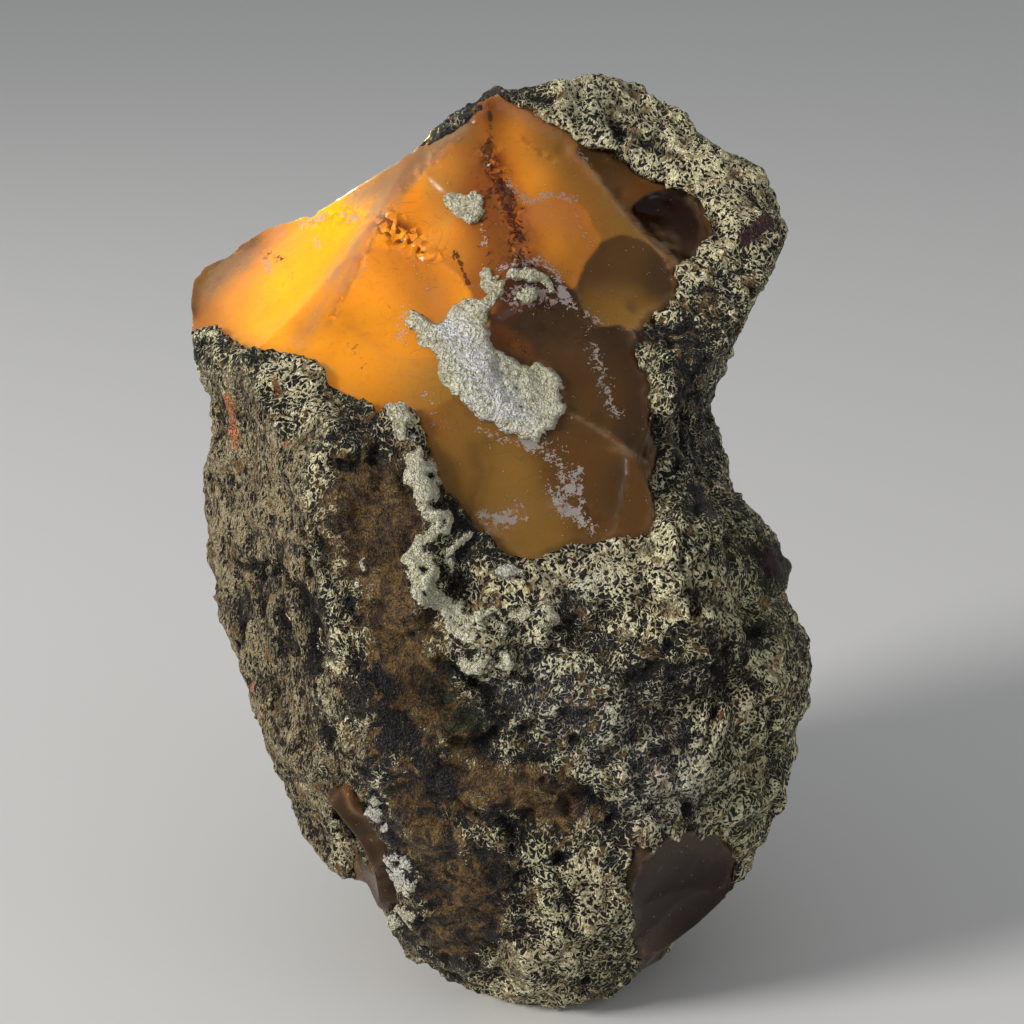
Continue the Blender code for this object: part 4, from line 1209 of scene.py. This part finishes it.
        # Painted highlights along the edges of the flakes, added into the frost.
        edge_highlight = np.exp(-((edges["recess"] / 0.35) ** 2)) + 0.5 * np.exp(-((edges["disc"] / 0.2) ** 2))
        edge_highlight += 0.3 * np.exp(-((edges["dark_lens"] / 0.2) ** 2)) + 0.25 * np.exp(-((edges["olive_facet"] / 0.2) ** 2))
        edge_highlight += 0.25 * np.exp(-((edges["yellow_facet"] / 0.2) ** 2)) + 0.2 * np.exp(-((edges["amber_shell"] / 0.2) ** 2))
        border = np.exp(-((away / 0.6) ** 2)) * 0.3
        broken = np.clip(0.55 + 1.3 * noise_at(points, 1.6, 3.0), 0, 1.2)
        fibres = noise_at(points @ turned(40.0) * np.array((1.0, 0.25, 1.0)), 0.8, 23.0)
        veil = zone(points, np.ones(len(points)), VEILS) * np.clip(0.8 + 0.9 * fibres, 0, 1.3)
        set_values(mesh, "frost_and_highlight", np.clip(((0.6 * ridge + 0.6 * edge_highlight) * front + border) * broken + veil, 0, 1))
        for name, strokes in (("veined", VEINED), ("dust", DUSTED)):
            set_values(mesh, name, zone(points, np.ones(len(points)), strokes))
        set_values(mesh, "painted_glow", np.clip(zone(points, np.ones(len(points)), PAINTED_GLOW) * front, 0, 1))


class FIREOPAL_OT_rind(bpy.types.Operator):
    """Builds the weathered rind, with the crust that stands on the window"""

    bl_idname = "fire_opal.rind"
    bl_label = "Weathered rind"

    def execute(self, context):
        sizes, colours = context.scene.opal_sizes, context.scene.rind_colours
        mesh = stone_mesh(sizes.rind_grain, 2)
        points = to_plane(read(mesh))
        facing = (read(mesh, "normal") @ leaning_axes().T)[:, 2]
        covered = np.maximum(bare_distance(points, facing), -crust_distance(points))
        bm = bmesh.new()
        bm.from_mesh(mesh)
        bm.verts.ensure_lookup_table()
        gone = [bm.verts[int(i)] for i in np.nonzero(covered < 0)[0]]
        bmesh.ops.delete(bm, geom=gone, context="VERTS")
        loose = [v for v in bm.verts if not v.link_faces]
        bmesh.ops.delete(bm, geom=loose, context="VERTS")
        for _ in range(3):
            edge = [v for v in bm.verts if v.is_boundary]
            bmesh.ops.smooth_vert(bm, verts=edge, factor=0.5, use_axis_x=True, use_axis_y=True, use_axis_z=True)
        bm.to_mesh(mesh)
        bm.free()
        mesh, members = finished(mesh, ("SOLIDIFY", {
            "thickness": sizes.rind_thickness, "offset": -1.0, "use_rim": True, "shell_vertex_group": "inner",
        }), groups=[("inner", np.zeros(len(mesh.vertices)))])
        inner = members["inner"]
        kept = 1.0 - 0.95 * float(inner.mean())
        mesh, members = finished(mesh, (
            "DECIMATE", {"ratio": kept, "vertex_group": "inner", "vertex_group_factor": 1.0}
        ), groups=[("inner", inner)])
        inner = members["inner"]
        points = to_plane(read(mesh))
        normals = read(mesh, "normal") @ leaning_axes().T
        crust = crust_distance(points)
        lobed = points + noise_shift(points, 2.6, 43.0) * 1.7 + noise_shift(points, 1.1, 47.0) * 0.7
        clumpy = 0.95 + 1.0 * noise_at(points, 3.0, 51.0) + 0.9 * noise_at(points, 1.4, 53.0) + 0.5 * noise_at(points, 0.7, 57.0)
        crusted = np.maximum(zone(lobed, normals[:, 2], CRUSTED) * clumpy, ease(-crust, -0.8, 0.2) * 1.2)
        height = self.height(points, normals[:, 2]) + 1.5 * ease(crusted, 0.35, 0.75)
        on_window = ease(crust, 0.6, 0.0) * ease(bare_distance(points, normals[:, 2]), 0.6, -0.6)
        points = drop_onto_scars(points, on_window * ~inner)
        points[:, 2] -= flake_depth(flake_edges(points)) * on_window * ~inner
        thin = 0.30 + 0.34 * ease(-crust, 0.0, 1.2) + 0.9 * (np.abs(noise_at(points, 2.4, 71.0)) - 0.2)
        thin += 0.5 * (np.abs(noise_at(points, 1.0, 81.0)) - 0.2)
        lift = height * sizes.relief / MM * (1 - on_window) + thin * on_window
        moved = from_plane(points + normals * np.where(inner, 0.0, lift)[:, None])
        moved[:, 2] = np.maximum(moved[:, 2], CAD_BOX[0][2])
        put_back(mesh, moved)
        self.paint(mesh, points, normals, height, crusted)
        piece = new_piece("weathered_rind", mesh, rind_material(colours))
        if len(piece.data.polygons) < 1000:
            raise RuntimeError("the rind came out empty")
        return {"FINISHED"}

    def height(self, points, facing):
        """Lumps with creases between them, pits and folds, from about -3 to 2."""
        bent = points * np.array((1.0, 0.8, 1.0)) + noise_shift(points, 8.0, 17.0) * 3.0
        height = 1.1 * noise_at(points, 5.0, 2.0)
        for size, tall, shift in ((3.2, 2.6, 11.0), (1.5, 1.7, 21.0)):
            height += tall * (np.abs(noise_at(bent, size, shift)) - 0.22)
        height += 0.55 * noise_at(points, 0.9, 27.0)
        pitted = ease(noise_at(points, 7.0, 41.0), 0.0, 0.3)
        pits = np.array([noise.voronoi(Vector(p))[0][0] for p in bent / 3.6])
        height -= 1.8 * pitted * ease(-pits, -0.36, -0.14)
        wandering = points + noise_shift(points, 3.0, 33.0) * 1.2
        return height - zone(wandering, facing, FOLDS) * (0.75 + 0.5 * noise_at(points, 3.0, 37.0))

    def paint(self, mesh, points, normals, height, crusted):
        facing = normals[:, 2]
        flank = ease(-normals[:, 0] + 0.25 * noise_at(points, 3.5, 61.0), 0.35, 0.65) * ease(points[:, 1], 24.0, 16.0) * ease(facing, -0.4, 0.1)
        set_values(mesh, "cream", 0.47 + zone(points, facing, CREAM) + 0.10 * noise_at(points, 11.0, 31.0))
        set_values(mesh, "crusted", crusted)
        set_values(mesh, "flank", flank)
        set_values(mesh, "relief", height)
        for name, strokes in (
            ("earth", EARTH), ("bloom", BLOOM), ("rust", RUST), ("olive", OLIVE), ("plum", PLUM), ("slate", SLATE),
        ):
            set_values(mesh, name, zone(points, facing, strokes))


class FIREOPAL_OT_stage(bpy.types.Operator):
    """Lays the floor, hangs the lights and sets the camera"""

    bl_idname = "fire_opal.stage"
    bl_label = "Stage"

    def execute(self, context):
        scene, stage = context.scene, context.scene.stage_settings
        bm = bmesh.new()
        bmesh.ops.create_grid(bm, x_segments=1, y_segments=1, size=3.0)
        mesh = bpy.data.meshes.new("floor")
        bm.to_mesh(mesh)
        bm.free()
        floor = bpy.data.objects.new("floor", mesh)
        scene.collection.objects.link(floor)
        made, lay, shader, _ = new_material("pale_floor")
        feed(lay, shader, Base_Color=rgba(stage.floor), Roughness=0.75, Specular_IOR_Level=0.1)
        mesh.materials.append(made)
        self.light("key", (-0.90, -0.48, 0.55), 0.32, stage.key, (1.0, 0.985, 0.96))
        self.light("fill", (0.80, -0.50, 0.40), 0.50, stage.fill, (0.95, 0.98, 1.0))
        self.beam("back", (-0.06, 0.20, 0.10), (-0.0134, 0.026, 0.085), stage.back, (1.0, 0.80, 0.25))
        world = bpy.data.worlds.new("studio")
        world.use_nodes = True
        world.node_tree.nodes["Background"].inputs["Color"].default_value = (0.80, 0.82, 0.85, 1.0)
        world.node_tree.nodes["Background"].inputs["Strength"].default_value = 0.44
        scene.world = world
        scene.view_settings.view_transform = "Standard"
        self.camera(scene, stage)
        return {"FINISHED"}

    def light(self, name, place, size, power, colour):
        lamp = bpy.data.lights.new(name, "AREA")
        lamp.shape = "DISK"
        lamp.size = size
        lamp.energy = power
        lamp.color = colour
        holder = bpy.data.objects.new(name, lamp)
        bpy.context.scene.collection.objects.link(holder)
        holder.location = place
        way = Vector((0.0, 0.0, 0.065)) - holder.location
        holder.rotation_euler = way.to_track_quat("-Z", "Y").to_euler()
        holder.visible_camera = False

    def beam(self, name, place, target, power, colour):
        """A narrow beam onto the break at the back, which lights the opal from within."""
        lamp = bpy.data.lights.new(name, "SPOT")
        lamp.spot_size = math.radians(14.0)
        lamp.spot_blend = 0.6
        lamp.shadow_soft_size = 0.01
        lamp.energy = power
        lamp.color = colour
        holder = bpy.data.objects.new(name, lamp)
        bpy.context.scene.collection.objects.link(holder)
        holder.location = place
        way = Vector(target) - holder.location
        holder.rotation_euler = way.to_track_quat("-Z", "Y").to_euler()
        holder.visible_camera = False

    def camera(self, scene, stage):
        """A camera square to the leaning plane, a little to the right of the stone's middle and above it."""
        out = Vector(leaning_axes()[2])
        lens = bpy.data.cameras.new("camera")
        lens.sensor_width = 36.0
        lens.lens = 18.0 / math.tan(stage.field / 2)
        lens.clip_start, lens.clip_end = 0.01, 10.0
        camera = bpy.data.objects.new("camera", lens)
        scene.collection.objects.link(camera)
        camera.location = from_plane(EYE)
        camera.rotation_euler = (-out).to_track_quat("-Z", "Y").to_euler()
        scene.camera = camera


class FIREOPAL_PT_panel(bpy.types.Panel):
    """Lists the pieces and their settings"""

    bl_idname = "FIREOPAL_PT_panel"
    bl_label = "Rough fire opal"
    bl_space_type = "VIEW_3D"
    bl_region_type = "UI"
    bl_category = "Fire opal"

    def draw(self, context):
        for operator in (FIREOPAL_OT_body, FIREOPAL_OT_rind, FIREOPAL_OT_stage):
            self.layout.operator(operator.bl_idname)
        for settings in ("opal_sizes", "opal_colours", "rind_colours", "stage_settings"):
            group = getattr(context.scene, settings)
            box = self.layout.box()
            for name in group.__annotations__:
                box.prop(group, name)


SETTINGS = {
    "opal_sizes": OpalSizes,
    "opal_colours": OpalColours,
    "rind_colours": RindColours,
    "stage_settings": StageSettings,
}
CLASSES = (*SETTINGS.values(), FIREOPAL_OT_body, FIREOPAL_OT_rind, FIREOPAL_OT_stage, FIREOPAL_PT_panel)


def register():
    for made in CLASSES:
        bpy.utils.register_class(made)
    for name, group in SETTINGS.items():
        setattr(bpy.types.Scene, name, PointerProperty(type=group))


def unregister():
    for name in SETTINGS:
        delattr(bpy.types.Scene, name)
    for made in reversed(CLASSES):
        bpy.utils.unregister_class(made)


def main():
    register()
    bpy.ops.fire_opal.stage()
    bpy.ops.fire_opal.body()
    bpy.ops.fire_opal.rind()


if __name__ == "__main__":
    main()
